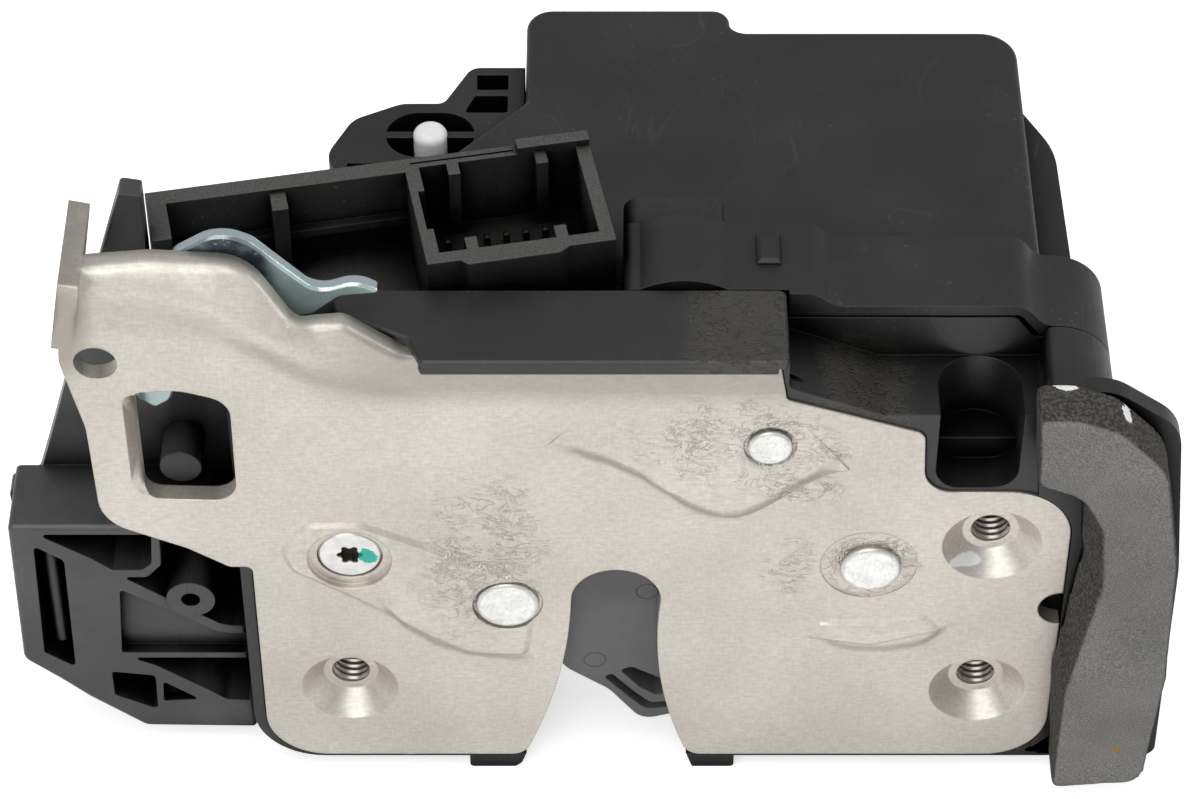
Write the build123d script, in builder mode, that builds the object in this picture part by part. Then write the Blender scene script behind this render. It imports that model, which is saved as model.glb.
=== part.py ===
from build123d import *
import os
from math import sin, cos, tan, radians, degrees, pi, hypot, atan2, acos, sqrt

os.makedirs("parts", exist_ok=True)

# Door latch actuator.  Origin: centre of the round end of the striker slot, on the front
# face of the steel plate.  +X right, +Y back behind the plate, +Z up; the slot opens down.

# ---- driving dimensions, mm ------------------------------------------------------------
plate_t = 2.5             # steel plate
slot_r = 5.8              # round end of the striker slot
slot_left, slot_right = -12.6, 10.1    # foot of the flared slot walls
slot_waist_left, slot_waist_right, slot_waist_z = -7.5, 5.9, -15.5
plate_left, plate_right = -46.5, 57.6
plate_bottom, plate_top = -31.4, 43.4
lean_z, lean_angle, lean_r = 47.0, 20.0, 5.0      # backward lean of the upper wing
set_back, set_slope = 1.0, 74.0        # upper edge of the plate, pressed back
ear_depth, ear_height = 17.0, 9.0

fork_x, fork_z = -14.0, -0.6           # forkbolt pivot
pawl_x, pawl_z = 32.5, 6.3             # pawl pivot
stud_x, stud_z = 19.0, 28.8            # third rivet
screw_x, screw_z = -34.0, 8.2          # plate screw
m6_spots = [(47.8, 10.4), (47.8, -18.0), (-35.1, -17.5)]
m6_bore_r, m6_length = 2.5, 5.0
dimple_r, dimple_depth, dimple_land_r = 6.4, 3.0, 3.6

fork_head_r, pawl_head_r, stud_head_r = 4.05, 3.9, 2.8
fork_pin_r, pawl_pin_r, stud_pin_r = 4.0, 3.6, 2.2
rivet_head_t = 0.55
recess_t = 0.3             # coined rings round the rivets and the screw
pad_t = 0.55               # pressed pads of the plate
run_gap = 0.05            # running fit, on the radius
side_gap = 0.4            # moving pieces to the faces beside them
seat_gap = 0.15           # seated pieces, each side

fork_t = 8.0              # forkbolt over its moulding
fork_core_t = 5.0
fork_skin = 1.2
fork_rest = -58.0         # direction of the forkbolt mouth when open, degrees from +X
fork_reach = 33.3         # pivot to the tip of the striking leg
fork_cam_r = 26.0         # arc the pawl rides on
fork_notch_r = 22.0
fork_hub_r = 12.5
mouth_r = 6.0
pawl_t = 6.0
pawl_nose_gap = 0.35

rim_w = 1.5               # lip of the housing around the plate
housing_front = 0.3
housing_back = 16.0
cavity_floor = plate_t + side_gap + fork_t + side_gap
back_plate_t = 1.5
ledge_z, ledge_depth = 34.0, 10.8
upper_z = 40.5            # top of the housing behind the ledge
pocket_x, pocket_r, pocket_z = 45.0, 5.2, 20.9
tower_x = 61.8            # right flank of both housings
seal_back_t = 2.5

wall = 2.2
band_z = 42.3             # top of the collar
band_left_z = 44.5
band_wall = 1.6
collar_left = 0.9
collar_back = 23.6
block_z, block_foot = 34.0, 6.0
seam_z = 22.0
block_left, block_right, block_back = -12.0, 54.3, 77.7
block_step_x, block_step = 15.6, 4.7
bulge_out = 5.5           # how far the lower case stands out beyond the cover

shield_t = 1.2
shield_left, shield_right, shield_back = -35.0, 20.8, 11.5

plug_angle = 11.0         # the connector and tray stand turned about Z
plug_x, plug_y = -23.2, 11.9
plug_w, plug_d, plug_wall = 23.6, 19.4, 1.8
plug_rim_z, plug_floor_z = 48.5, 38.0
tray_w, tray_wall = 32.5, 2.4
pin_w, pin_pitch, pin_top = 0.8, 2.5, 41.0

flank_front, flank_depth, flank_wall = 5.0, 11.0, 3.0
flank_left, flank_foot, flank_top = -78.2, -32.0, 8.4

lever_y, lever_t = 6.3, 1.6
lever_x, lever_z, lever_pin_r = -46.0, 47.6, 2.5

seal_front, seal_t = -7.2, 6.9

gear_module, pinion_teeth, gear_teeth = 0.8, 12, 24
gear_t, gear_backlash = 5.0, 0.3
motor_r, motor_len = 10.0, 26.0
gear_x, gear_y, gear_z = 8.0, 28.0, 20.0     # front face and axis of the lock gear
gear_pin_r = 1.5
case_left, case_right = -30.0, 57.5
lever_arm = 15.0
guide_x, guide_y, guide_r = -24.6, 54.0, 2.3
case_spots = [(-26.2, 27.6), (50.6, 27.6), (50.6, 69.2), (-8.2, 74.0)]
screw_r, screw_head_r, screw_head_t = 1.25, 2.6, 1.6


def front(y):
    """Plane facing the viewer at depth y: local x = +X, local y = +Z."""
    return Plane(origin=(0, y, 0), x_dir=(1, 0, 0), z_dir=(0, -1, 0))


def rounded(corners):
    """Closed outline through (x, y, corner radius) points."""
    return FilletPolyline([c[:2] for c in corners], radius=[c[2] for c in corners], close=True)


def slot_edges(grow, foot):
    """Closed outline of the flared striker slot, grown all round."""
    arch = ThreePointArc((-slot_r - grow, 0), (0, slot_r + grow), (slot_r + grow, 0))
    right = ThreePointArc(arch @ 1, (slot_waist_right + grow, slot_waist_z), (slot_right + grow, foot))
    left = ThreePointArc((slot_left - grow, foot), (slot_waist_left - grow, slot_waist_z), arch @ 0)
    Line(right @ 1, left @ 0)


def polar(r, angle):
    return (r * cos(radians(angle)), r * sin(radians(angle)))


# ---- steel plate -----------------------------------------------------------------------
window_left = -59.2
plate_corners = [
    (plate_left, plate_bottom, 8), (plate_left, 6.4, 1.0),
    (-49.4, 6.4, 1.0), (-54.6, 10.0, 4), (-65.0, 15.0, 6), (-65.4, 32.0, 12),
    (-67.6, 43.5, 6), (-66.6, 55.8, 4), (-56.0, 56.6, 8), (-44.5, 56.0, 7),
    (-38.6, 48.0, 3), (-33.0, 48.6, 2), (-26.4, plate_top, 3), (19.8, plate_top, 0.5),
    (20.8, 36.9, 0.8), (38.1, 30.9, 1.6), (38.6, 20.3, 4.0), (plate_right, 20.3, 8.0),
    (plate_right, plate_bottom, 8),
]

set_back_corners = [
    (-41.0, 48.5, 1), (-39.5, 45.7, 1), (-38.4, 43.1, 1), (-35.6, 40.2, 2), (-31.0, 38.7, 3), (12.0, 37.8, 3),
    (30.0, 38.2, 1), (30.0, 60.0, 1), (-41.0, 60.0, 1),
]

with BuildPart() as set_back_rear:
    with BuildSketch(front(plate_t)):
        with BuildLine():
            rounded(set_back_corners)
        make_face()
    extrude(amount=-set_back, taper=set_slope)
    with BuildSketch(front(plate_t)):
        with BuildLine():
            rounded(plate_corners)
        make_face()
    extrude(amount=-set_back, mode=Mode.INTERSECT)

# the ledge fades out upwards
with BuildPart() as ledge_pad:
    with BuildSketch(front(plate_t / 2)):
        with BuildLine():
            Spline((-8.4, 29.2), (-5.2, 28.1), (0.4, 25.4), (9.2, 18.6), (14.0, 16.3), (21.1, 20.3), (29.0, 24.7))
            Polyline((29.0, 24.7), (22.0, 34.0), (-4.0, 34.0), (-8.4, 29.2))
        make_face()
    extrude(amount=plate_t / 2 + pad_t)
    with BuildSketch(Plane.YZ.offset(plate_left)):
        with BuildLine():
            Polyline((1.0, 10.0), (-pad_t, 10.0), (-pad_t, 20.0), (0.02, 33.0), (1.0, 33.0), close=True)
        make_face()
    extrude(amount=plate_right - plate_left, mode=Mode.INTERSECT)

with BuildPart() as latch_plate:
    with BuildSketch(front(0)) as latch_sheet:
        with BuildLine():
            rounded(plate_corners)
        make_face()
        # flared striker slot with its round end
        with BuildLine():
            slot_edges(0, plate_bottom - 1)
        make_face(mode=Mode.SUBTRACT)
        fillet(latch_sheet.vertices().group_by(Axis.Y)[0].sort_by(Axis.X)[1:3], radius=2.5)
        # half-round notch in the right edge
        with Locations((plate_right, -1.7)):
            Circle(3.0, mode=Mode.SUBTRACT)
        # wing window and the round hole above it
        with BuildLine():
            FilletPolyline((window_left, 38.2), (window_left, 19.2), (-47.6, 18.8), (-47.4, 36.6), (-53.5, 38.6),
                           radius=[1.2, 2.4, 3, 3.5, 6], close=True)
        make_face(mode=Mode.SUBTRACT)
        with Locations((-63.2, 43.3)):
            Circle(2.65, mode=Mode.SUBTRACT)
    extrude(amount=-12)
    # side profile: flat sheet, bent back above lean_z
    with BuildSketch(Plane.YZ.offset(plate_left - 25)) as side_profile:
        with BuildLine():
            run = 14.0
            rise = Vector(sin(radians(lean_angle)), cos(radians(lean_angle)))
            tip = Vector(0, lean_z) + rise * run
            across = Vector(rise.Y, -rise.X) * plate_t
            inner = plate_t * tan(radians(lean_angle / 2))
            FilletPolyline((0, plate_bottom - 1), (0, lean_z), tip, tip + across,
                           (plate_t, lean_z - inner), (plate_t, plate_bottom - 1),
                           radius=[0, lean_r + plate_t, 0, 0, lean_r, 0], close=True)
        make_face()
    extrude(amount=plate_right - plate_left + 30, mode=Mode.INTERSECT)
    # upper edge pressed back over its full thickness
    with BuildSketch(front(0)):
        with BuildLine():
            rounded(set_back_corners)
        make_face()
    extrude(amount=-set_back, taper=set_slope, mode=Mode.SUBTRACT)
    add(set_back_rear.part)
    # coined left wall of the wing window
    with BuildSketch(front(0)):
        with BuildLine():
            rounded([(window_left - 1.4, 37.8, 1.5), (window_left - 1.4, 19.8, 2.5), (window_left + 2.0, 19.8, 0.5),
                     (window_left + 2.0, 37.8, 0.5)])
        make_face()
    extrude(amount=-plate_t + 0.2, taper=31, mode=Mode.SUBTRACT)
    # pressed pads
    add(ledge_pad.part)
    with BuildSketch(front(0)):
        with BuildLine():
            rounded([(-41.6, 5.6, 3), (-34.3, 0.8, 6), (-24.2, -7.2, 6), (-19.0, -10.7, 3), (-11.4, -10.9, 1.5),
                     (-9.8, 2.6, 2), (-25.3, 11.5, 6), (-32.4, 15.0, 6), (-39.6, 14.8, 4), (-43.2, 10.0, 4)])
        make_face()
        with BuildLine():
            rounded([(24.6, -7.4, 0.6), (33.2, -9.0, 5), (42.4, -6.0, 0.8), (40.4, -2.6, 1), (33.0, -3.6, 4),
                     (26.0, -3.6, 1.5)])
        make_face()
    extrude(amount=pad_t, taper=55)
    # side ear running back from the upper left corner
    with BuildSketch(front(0)):
        with BuildLine():
            Polyline((-68.3, 46.0), (-65.7, 45.4), (-64.0, 45.4 + ear_height + 1.6),
                     (-66.5, 46.0 + ear_height + 1.6), close=True)
        make_face()
    extrude(amount=-ear_depth)
    ear_back = latch_plate.faces().sort_by(Axis.Y)[-1]
    chamfer(ear_back.edges().sort_by(Axis.Z)[-1:], length=2.2)
    # drawn bosses for the M6 threads
    for x, z in m6_spots:
        with BuildSketch(front(plate_t)):
            with Locations((x, z)):
                Circle(dimple_r + 0.8)
        extrude(amount=-(dimple_depth + m6_length - plate_t),
                taper=29)
    for x, z in m6_spots:
        with BuildSketch(front(0)):
            with Locations((x, z)):
                Circle(dimple_r)
        extrude(amount=-dimple_depth, taper=degrees(atan2(dimple_r - dimple_land_r, dimple_depth)),
                mode=Mode.SUBTRACT)
        with BuildSketch(front(0)):
            with Locations((x, z)):
                Circle(m6_bore_r)
        extrude(amount=-(dimple_depth + m6_length + 1), mode=Mode.SUBTRACT)
    # coined rings, then the holes for rivets and the screw
    with BuildSketch(front(-pad_t)):
        for x, z, r in ((fork_x, fork_z, fork_head_r + 0.5), (pawl_x - 0.2, pawl_z + 0.4, 6.2),
                        (stud_x, stud_z, stud_head_r + 0.5), (screw_x, screw_z, 5.4)):
            with Locations((x, z)):
                Circle(r)
    extrude(amount=-(pad_t + recess_t), mode=Mode.SUBTRACT)
    with BuildSketch(front(0)):
        for x, z, r in ((fork_x, fork_z, fork_pin_r), (pawl_x, pawl_z, pawl_pin_r),
                        (stud_x, stud_z, stud_pin_r), (screw_x, screw_z, 4.2)):
            with Locations((x, z)):
                Circle(r)
    extrude(amount=-plate_t, mode=Mode.SUBTRACT)
latch_plate.part.label = "latch_plate"
export_step(latch_plate.part, "parts/latch_plate.step")

# ---- latch housing ---------------------------------------------------------------------
rim = rim_w + seat_gap
rim_left, rim_right = plate_left - rim, plate_right + rim + 0.8
rim_foot = plate_bottom - 0.7
block_drop = 2.3          # feet beside the striker slot
shoulder_z = 38.9         # flank tower, below the band
shoulder_x = 53.0
tower_r = 7.2
collar_inside = shoulder_z - band_wall - seat_gap

frame_corners = [
    (rim_left, rim_foot, 9), (rim_right, rim_foot, 2), (rim_right, 0, 6), (tower_x, 6, 6),
    (tower_x, shoulder_z, tower_r), (shoulder_x, shoulder_z, 1), (shoulder_x, ledge_z, 0.8),
    (32.8, ledge_z, 2), (21.0, 38.8, 1), (21.0, plate_top - 0.2, 0.5),
    (-42.5, plate_top - 0.2, 1), (rim_left, 37.5, 2),
]
rear_corners = [
    (rim_left, rim_foot, 9), (rim_right, rim_foot, 2), (rim_right, collar_inside, tower_r - band_wall),
    (shoulder_x - 1.2, collar_inside, 1), (49.4, upper_z, 1),
    (collar_left + wall + seat_gap, upper_z, 1), (collar_left + wall + seat_gap, ledge_z - 0.2, 0.2),
    (rim_left, ledge_z - 0.2, 2),
]
seal_back_corners = [
    (52.6, 26.0, 1), (52.6, 38.4, 1), (61.0, 38.4, 6), (69.6, 32.0, 7), (72.0, 6.0, 40),
    (72.6, -31.8, 2.0), (56.0, -31.6, 2),
]
sweep_gap = 0.8


with BuildPart() as latch_housing:
    with BuildSketch(front(housing_front)):
        with BuildLine():
            rounded(frame_corners)
        make_face()
    extrude(amount=-(ledge_depth - housing_front))
    with BuildSketch(front(ledge_depth)):
        with BuildLine():
            rounded(rear_corners)
        make_face()
    extrude(amount=-(housing_back - ledge_depth))
    # feet beside the striker slot
    with BuildSketch(front(housing_front)):
        with BuildLine():
            rounded([(-19.6, rim_foot - block_drop, 0.6), (-19.6, rim_foot + 4, 0.5), (-11.0, rim_foot + 4, 0.5),
                     (-11.8, rim_foot - 0.6, 0.8), (-13.4, rim_foot - block_drop, 0.8)])
        make_face()
        with BuildLine():
            rounded([(9.8, rim_foot - block_drop, 1.0), (8.0, rim_foot + 4, 0.5), (16.0, rim_foot + 4, 0.5),
                     (16.0, rim_foot - block_drop, 0.6)])
        make_face()
    extrude(amount=-(housing_back - housing_front))
    # flange behind the seal
    with BuildSketch(front(0)):
        with BuildLine():
            rounded(seal_back_corners)
        make_face()
    extrude(amount=-seal_back_t)
    # lug that carries the release lever
    with BuildSketch(front(lever_y + lever_t + side_gap)):
        with Locations((lever_x, lever_z)):
            Circle(5.2)
        with Locations((lever_x, (lever_z + plate_top - 3) / 2)):
            Rectangle(8.4, lever_z - plate_top + 3)
    extrude(amount=-(ledge_depth - lever_y - lever_t - side_gap))
    # seat of the steel plate
    with BuildSketch(front(-1)):
        with BuildLine():
            rounded(plate_corners)
        make_face()
        offset(amount=seat_gap, kind=Kind.INTERSECTION)
    extrude(amount=-(plate_t + 1), mode=Mode.SUBTRACT)
    # room behind the upper edge of the plate
    with BuildSketch(front(plate_t + seat_gap)):
        with BuildLine():
            rounded(set_back_corners)
        make_face()
    extrude(amount=-set_back, taper=set_slope, mode=Mode.SUBTRACT)
    with BuildSketch(front(plate_t - 0.5)):
        with BuildLine():
            rounded(set_back_corners)
        make_face()
    extrude(amount=-(0.5 + seat_gap), mode=Mode.SUBTRACT)
    # chamber of the forkbolt and the pawl
    with BuildSketch(front(plate_t)):
        with Locations((fork_x, fork_z)):
            Circle(fork_cam_r + sweep_gap)
        with BuildLine():
            reach = fork_reach + sweep_gap
            start = Vector(fork_x, fork_z) + Vector(*polar(reach, -58))
            middle = Vector(fork_x, fork_z) + Vector(*polar(reach, -16))
            end = Vector(fork_x, fork_z) + Vector(*polar(reach, 36))
            sweep_arc = ThreePointArc(start, middle, end)
            Polyline(end, (fork_x, fork_z), start)
        make_face()
        with BuildLine():
            start = Vector(fork_x, fork_z) + Vector(*polar(29.6, -112))
            middle = Vector(fork_x, fork_z) + Vector(*polar(29.6, -75))
            end = Vector(fork_x, fork_z) + Vector(*polar(29.6, -30))
            ThreePointArc(start, middle, end)
            Polyline(end, (fork_x, fork_z), start)
        make_face()
        with BuildLine():
            rounded([(-7.5, 19.0, 2), (-5.5, 34.0, 4), (14.5, 34.0, 4), (24.5, 29.5, 3), (41.5, 12.0, 5), (45.5, -6.0, 4),
                     (38.5, -12.5, 4), (24.0, 2.0, 4), (12.0, 8.0, 2)])
        make_face()
    extrude(amount=-(cavity_floor - plate_t), mode=Mode.SUBTRACT)
    # striker slot right through
    with BuildSketch(front(0)):
        with BuildLine():
            slot_edges(0.6, rim_foot - block_drop - 1)
        make_face()
    extrude(amount=-(housing_back + 1), mode=Mode.SUBTRACT)
    # room for the drawn thread bosses and the bolt tips
    for x, z in m6_spots:
        with BuildSketch(front(plate_t)):
            with Locations((x, z)):
                Circle(dimple_r + 1.2)
        extrude(amount=-(dimple_depth + m6_length + 0.6 - plate_t), mode=Mode.SUBTRACT)
        with BuildSketch(front(plate_t)):
            with Locations((x, z)):
                Circle(m6_bore_r + 0.9)
        extrude(amount=-(housing_back + 1), mode=Mode.SUBTRACT)
    # tool pocket in the ledge
    with BuildSketch(front(housing_front - 1)):
        with BuildLine():
            rounded([(pocket_x - pocket_r, ledge_z + 2, 0.1), (pocket_x - pocket_r, pocket_z, 3.4),
                     (pocket_x + pocket_r, pocket_z, 3.4), (pocket_x + pocket_r, ledge_z + 2, 0.1)])
        make_face()
    extrude(amount=-(ledge_depth - pocket_r - housing_front + 1), mode=Mode.SUBTRACT)
    with BuildSketch(Plane.XY.offset(pocket_z + 3.6)):
        with Locations((pocket_x, ledge_depth - pocket_r - 0.2)):
            Circle(pocket_r)
    extrude(amount=ledge_z, mode=Mode.SUBTRACT)
    # holes for the pins, the screw and the lever pin
    with BuildSketch(front(0)):
        for x, z, r in ((fork_x, fork_z, fork_pin_r), (pawl_x, pawl_z, pawl_pin_r),
                        (stud_x, stud_z, stud_pin_r), (screw_x, screw_z, 1.8)):
            with Locations((x, z)):
                Circle(r)
    extrude(amount=-(housing_back + 1), mode=Mode.SUBTRACT)
    with BuildSketch(front(0)):
        with Locations((lever_x, lever_z)):
            Circle(lever_pin_r - 0.7)
    extrude(amount=-(housing_back + 1), mode=Mode.SUBTRACT)
    # spring wells round the two pivots
    with BuildSketch(front(cavity_floor - 0.5)):
        with Locations((fork_x, fork_z)):
            Circle(8.6)
        with Locations((pawl_x, pawl_z)):
            Circle(7.4)
    extrude(amount=-3.6, mode=Mode.SUBTRACT)
    # open corner pocket at the foot of the rim
    with BuildSketch(front(housing_front - 1)):
        with BuildLine():
            rounded([(rim_right - 5.4, rim_foot + 0.8, 0.4), (rim_right - 1.2, rim_foot + 0.8, 0.6),
                     (rim_right - 1.2, rim_foot + 5.2, 0.4)])
        make_face()
    extrude(amount=-7, mode=Mode.SUBTRACT)
latch_housing.part.label = "latch_housing"
export_step(latch_housing.part, "parts/latch_housing.step")

# ---- rear plate and rivets -------------------------------------------------------------
with BuildPart() as back_plate:
    with BuildSketch(front(housing_back)):
        with BuildLine():
            rounded([(-40, -9, 4), (-27, -26, 6), (-15.5, -28, 3), (-10, -4, 3), (-9.0, 9.0, 6), (9.0, 9.0, 6),
                     (12, -20, 3), (30, -20, 6), (44, -6, 6), (44, 12, 6), (26, 36, 6), (12, 36, 6),
                     (-24, 19, 6), (-40, 14, 4)])
        make_face()
        for x, z, r in ((fork_x, fork_z, fork_pin_r), (pawl_x, pawl_z, pawl_pin_r),
                        (stud_x, stud_z, stud_pin_r), (screw_x, screw_z, 2.6)):
            with Locations((x, z)):
                Circle(r, mode=Mode.SUBTRACT)
        with Locations(m6_spots[2]):
            Circle(m6_bore_r + 1.5, mode=Mode.SUBTRACT)
    extrude(amount=-back_plate_t)
back_plate.part.label = "back_plate"
export_step(back_plate.part, "parts/back_plate.step")

pin_length = housing_back + back_plate_t


def rivet(x, z, pin_r, head_r):
    """Turned rivet: flat head on the plate, plain pin, peened end behind."""
    with BuildPart() as piece:
        with BuildSketch(front(0)):
            with Locations((x, z)):
                Circle(pin_r)
        extrude(amount=-pin_length)
        with BuildSketch(front(0)):
            with Locations((x, z)):
                Circle(head_r)
        extrude(amount=rivet_head_t)
        chamfer(piece.edges().sort_by(Axis.Y)[0], length=0.2)
        with BuildSketch(front(pin_length)):
            with Locations((x, z)):
                Circle(pin_r + 0.8)
        extrude(amount=-1.0)
        chamfer(piece.edges().sort_by(Axis.Y)[-1], length=0.4)
    return piece


for name, x, z, pin_r, head_r in (
    ("fork_rivet", fork_x, fork_z, fork_pin_r, fork_head_r),
    ("pawl_rivet", pawl_x, pawl_z, pawl_pin_r, pawl_head_r),
    ("stud_rivet", stud_x, stud_z, stud_pin_r, stud_head_r),
):
    piece = rivet(x, z, pin_r, head_r)
    piece.part.label = name
    export_step(piece.part, f"parts/{name}.step")

# six-lobe screw with its washer head, sunk in the plate hole
with BuildPart() as plate_screw:
    with BuildSketch(front(0.4)):
        with Locations((screw_x, screw_z)):
            Circle(4.1)
    extrude(amount=-2.0)
    chamfer(plate_screw.edges().sort_by(Axis.Y)[0], length=0.3)
    with BuildSketch(front(2.3)):
        with Locations((screw_x, screw_z)):
            Circle(1.75)
    extrude(amount=-11)
    chamfer(plate_screw.edges().sort_by(Axis.Y)[-1], length=0.6)
    with BuildSketch(front(0)):
        with Locations((screw_x, screw_z)):
            Circle(1.25)
            with PolarLocations(1.25, 6):
                Circle(0.42)
    extrude(amount=-1.9, mode=Mode.SUBTRACT)
plate_screw.part.label = "plate_screw"
export_step(plate_screw.part, "parts/plate_screw.step")

# ---- forkbolt: steel core in a plastic moulding, drawn open ----------------------------
fork_front = plate_t + side_gap
fork_tip = fork_reach


def fork_plane(y):
    """Plane at depth y whose x runs along the mouth of the forkbolt."""
    return Plane(origin=(fork_x, y, fork_z), x_dir=(cos(radians(fork_rest)), 0, sin(radians(fork_rest))),
                 z_dir=(0, -1, 0))


cam_start, cam_end = 54.5, 113.0       # the cam arc, degrees from the mouth
mouth_y = -8.5
fork_corners = [
    (24.0, mouth_y - mouth_r, 1.2), (6.4, mouth_y - mouth_r, mouth_r - 0.1),
    (6.4, mouth_y + mouth_r, mouth_r - 0.1), (18.0, mouth_y + mouth_r + 0.3, 4), (24.5, 0.2, 5),
    (fork_tip - 1.1, 0.6, 2.5), (fork_tip + 0.3, 6.0, 4), (fork_tip - 2.6, 11.2, 4), (20.0, 14.4, 3),
    (13.1, 17.6, 0.8), (2.0, 15.5, 1), (-8.6, 19.6, 1.5), (-14.2, 9.5, 4), (-fork_hub_r - 0.4, -2.5, 5),
    (-8.0, -13.5, 6), (1.0, -18.4, 6), (20.5, -18.4, 3), (25.0, -16.6, 1.2),
]


def cam_sector(inner, outer, first, last):
    """Closed outline of a ring sector about the pivot."""
    arc = ThreePointArc(polar(outer, first), polar(outer, (first + last) / 2), polar(outer, last))
    back = ThreePointArc(polar(inner, last), polar(inner, (first + last) / 2), polar(inner, first))
    Line(arc @ 1, back @ 0)
    Line(back @ 1, arc @ 0)


core_back = fork_front + (fork_t + fork_core_t) / 2
core_front = core_back - fork_core_t
with BuildPart() as forkbolt_core:
    with BuildSketch(fork_plane(core_front)):
        with BuildLine():
            rounded(fork_corners)
        make_face()
        offset(amount=-fork_skin, kind=Kind.INTERSECTION, mode=Mode.REPLACE)
        # the damped tip is all plastic
        with Locations((fork_tip, 5.0)):
            Rectangle(23, 14, mode=Mode.SUBTRACT)
        with BuildLine():
            cam_sector(fork_hub_r, fork_cam_r, cam_start, cam_end)
        make_face()
        Circle(fork_pin_r + run_gap, mode=Mode.SUBTRACT)
    extrude(amount=-fork_core_t)
forkbolt_core.part.label = "forkbolt_core"
export_step(forkbolt_core.part, "parts/forkbolt_core.step")

with BuildPart() as forkbolt_cover:
    with BuildSketch(fork_plane(fork_front)):
        with BuildLine():
            rounded(fork_corners)
        make_face()
        Circle(fork_pin_r + run_gap, mode=Mode.SUBTRACT)
    extrude(amount=-fork_t)
    # bare steel along the cam arc
    with BuildSketch(fork_plane(fork_front)):
        with BuildLine():
            cam_sector(fork_notch_r - 1.5, fork_cam_r + 1, cam_start - 2, cam_end + 3)
        make_face()
    extrude(amount=-fork_t, mode=Mode.SUBTRACT)
    # two damping slots behind the striking edge
    with BuildSketch(fork_plane(fork_front)):
        with BuildLine():
            rounded([(22.0, 0.9, 0.5), (27.5, 1.6, 2), (30.8, 2.2, 2), (32.2, 5.5, 1.5), (30.9, 9.2, 0.5),
                     (30.0, 8.6, 0.5), (30.9, 5.6, 1.2), (29.8, 3.4, 1.2), (26.8, 2.8, 1.5), (22.0, 2.2, 0.5)])
        make_face()
        with BuildLine():
            rounded([(21.9, 3.4, 0.6), (26.6, 3.9, 1.5), (29.0, 4.9, 1), (29.4, 7.2, 1), (27.0, 7.6, 1),
                     (22.2, 5.2, 0.8)])
        make_face()
    extrude(amount=-(fork_t - fork_skin), mode=Mode.SUBTRACT)
    # shallow ejector marks
    with BuildSketch(fork_plane(fork_front)):
        with Locations((10.5, 14.8), (18.4, 1.8)):
            Circle(1.5)
            Circle(1.35, mode=Mode.SUBTRACT)
    extrude(amount=-0.1, mode=Mode.SUBTRACT)
    add(forkbolt_core.part, mode=Mode.SUBTRACT)
forkbolt_cover.part.label = "forkbolt_cover"
export_step(forkbolt_cover.part, "parts/forkbolt_cover.step")

# ---- pawl ------------------------------------------------------------------------------
pawl_front = fork_front + (fork_t - pawl_t) / 2


def about_fork(r, angle):
    x, z = polar(r, angle)
    return (fork_x + x, fork_z + z)


nose_r = fork_cam_r + pawl_nose_gap
with BuildPart() as pawl:
    with BuildSketch(front(pawl_front)):
        with BuildLine():
            rounded([(*about_fork(nose_r, 60.5), 0.5), (*about_fork(nose_r, 66), 1.2),
                     (*about_fork(33.0, 66), 1.5), (7.5, 28.2, 3), (14.5, 24.2, 4), (22.0, 19.8, 4),
                     (34.5, 12.6, 2), (33.0, 1.0, 1), (25.5, 7.0, 3), (19.8, 13.8, 3), (15.0, 17.9, 3),
                     (9.2, 20.9, 3), (*about_fork(30.2, 57), 0.8)])
        make_face()
        with Locations((pawl_x, pawl_z)):
            Circle(6.5)
        with BuildLine():
            rounded([(27.0, 4.0, 1), (36.6, -6.6, 2.4), (42.4, -5.4, 2.4), (38.4, 4.0, 1)])
        make_face()
        with Locations((pawl_x, pawl_z)):
            Circle(pawl_pin_r + run_gap, mode=Mode.SUBTRACT)
    extrude(amount=-pawl_t)
    chamfer(pawl.faces().sort_by(Axis.Y)[0].outer_wire().edges(), length=0.3)
pawl.part.label = "pawl"
export_step(pawl.part, "parts/pawl.step")


# ---- torsion springs in their wells ----------------------------------------------------
def coil(x, z, radius, wire, turns):
    """Close-wound torsion spring about the Y axis, seated at the bottom of its well."""
    pitch = wire * 1.08
    well_foot = cavity_floor - 0.5 + 3.6
    start_y = well_foot - wire / 2 - 0.1
    with BuildPart() as piece:
        with BuildLine():
            path = Helix(pitch=pitch, height=pitch * turns, radius=radius, center=(x, start_y, z),
                         direction=(0, -1, 0))
        with BuildSketch(Plane(origin=path @ 0, z_dir=path % 0)):
            RegularPolygon(wire / 2, 6)
        sweep(is_frenet=True)
    return piece


for name, x, z, radius, wire in (("fork_spring", fork_x, fork_z, 6.0, 0.9),
                                 ("pawl_spring", pawl_x, pawl_z, 5.2, 0.8)):
    piece = coil(x, z, radius, wire, 2.5)
    piece.part.label = name
    export_step(piece.part, f"parts/{name}.step")

# ---- edge shield over the top of the plate ---------------------------------------------
shield_foot = plate_top + seat_gap
with BuildPart() as edge_shield:
    with BuildSketch(Plane.XY.offset(shield_foot)):
        with BuildLine():
            rounded([(-23.8, -1.2, 1), (-25.3, 2.8, 1), (-34.4, 7.4, 1.5), (shield_left, 9.6, 0.8),
                     (-33.2, shield_back, 0.8), (shield_right, shield_back, 1), (shield_right, -1.2, 0.8)])
        make_face()
    extrude(amount=shield_t)
    with BuildSketch(Plane.XY.offset(shield_foot - 0.9)):
        with BuildLine():
            rounded([(-23.8, -1.2, 0.4), (-24.2, -seat_gap, 0.2), (shield_right - 1.2, -seat_gap, 0.2),
                     (shield_right - 1.2, -1.2, 0.4)])
        make_face()
    extrude(amount=0.9)
    chamfer(edge_shield.faces().sort_by(Axis.Z)[-1].edges(), length=0.3)
edge_shield.part.label = "edge_shield"
export_step(edge_shield.part, "parts/edge_shield.step")

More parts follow.
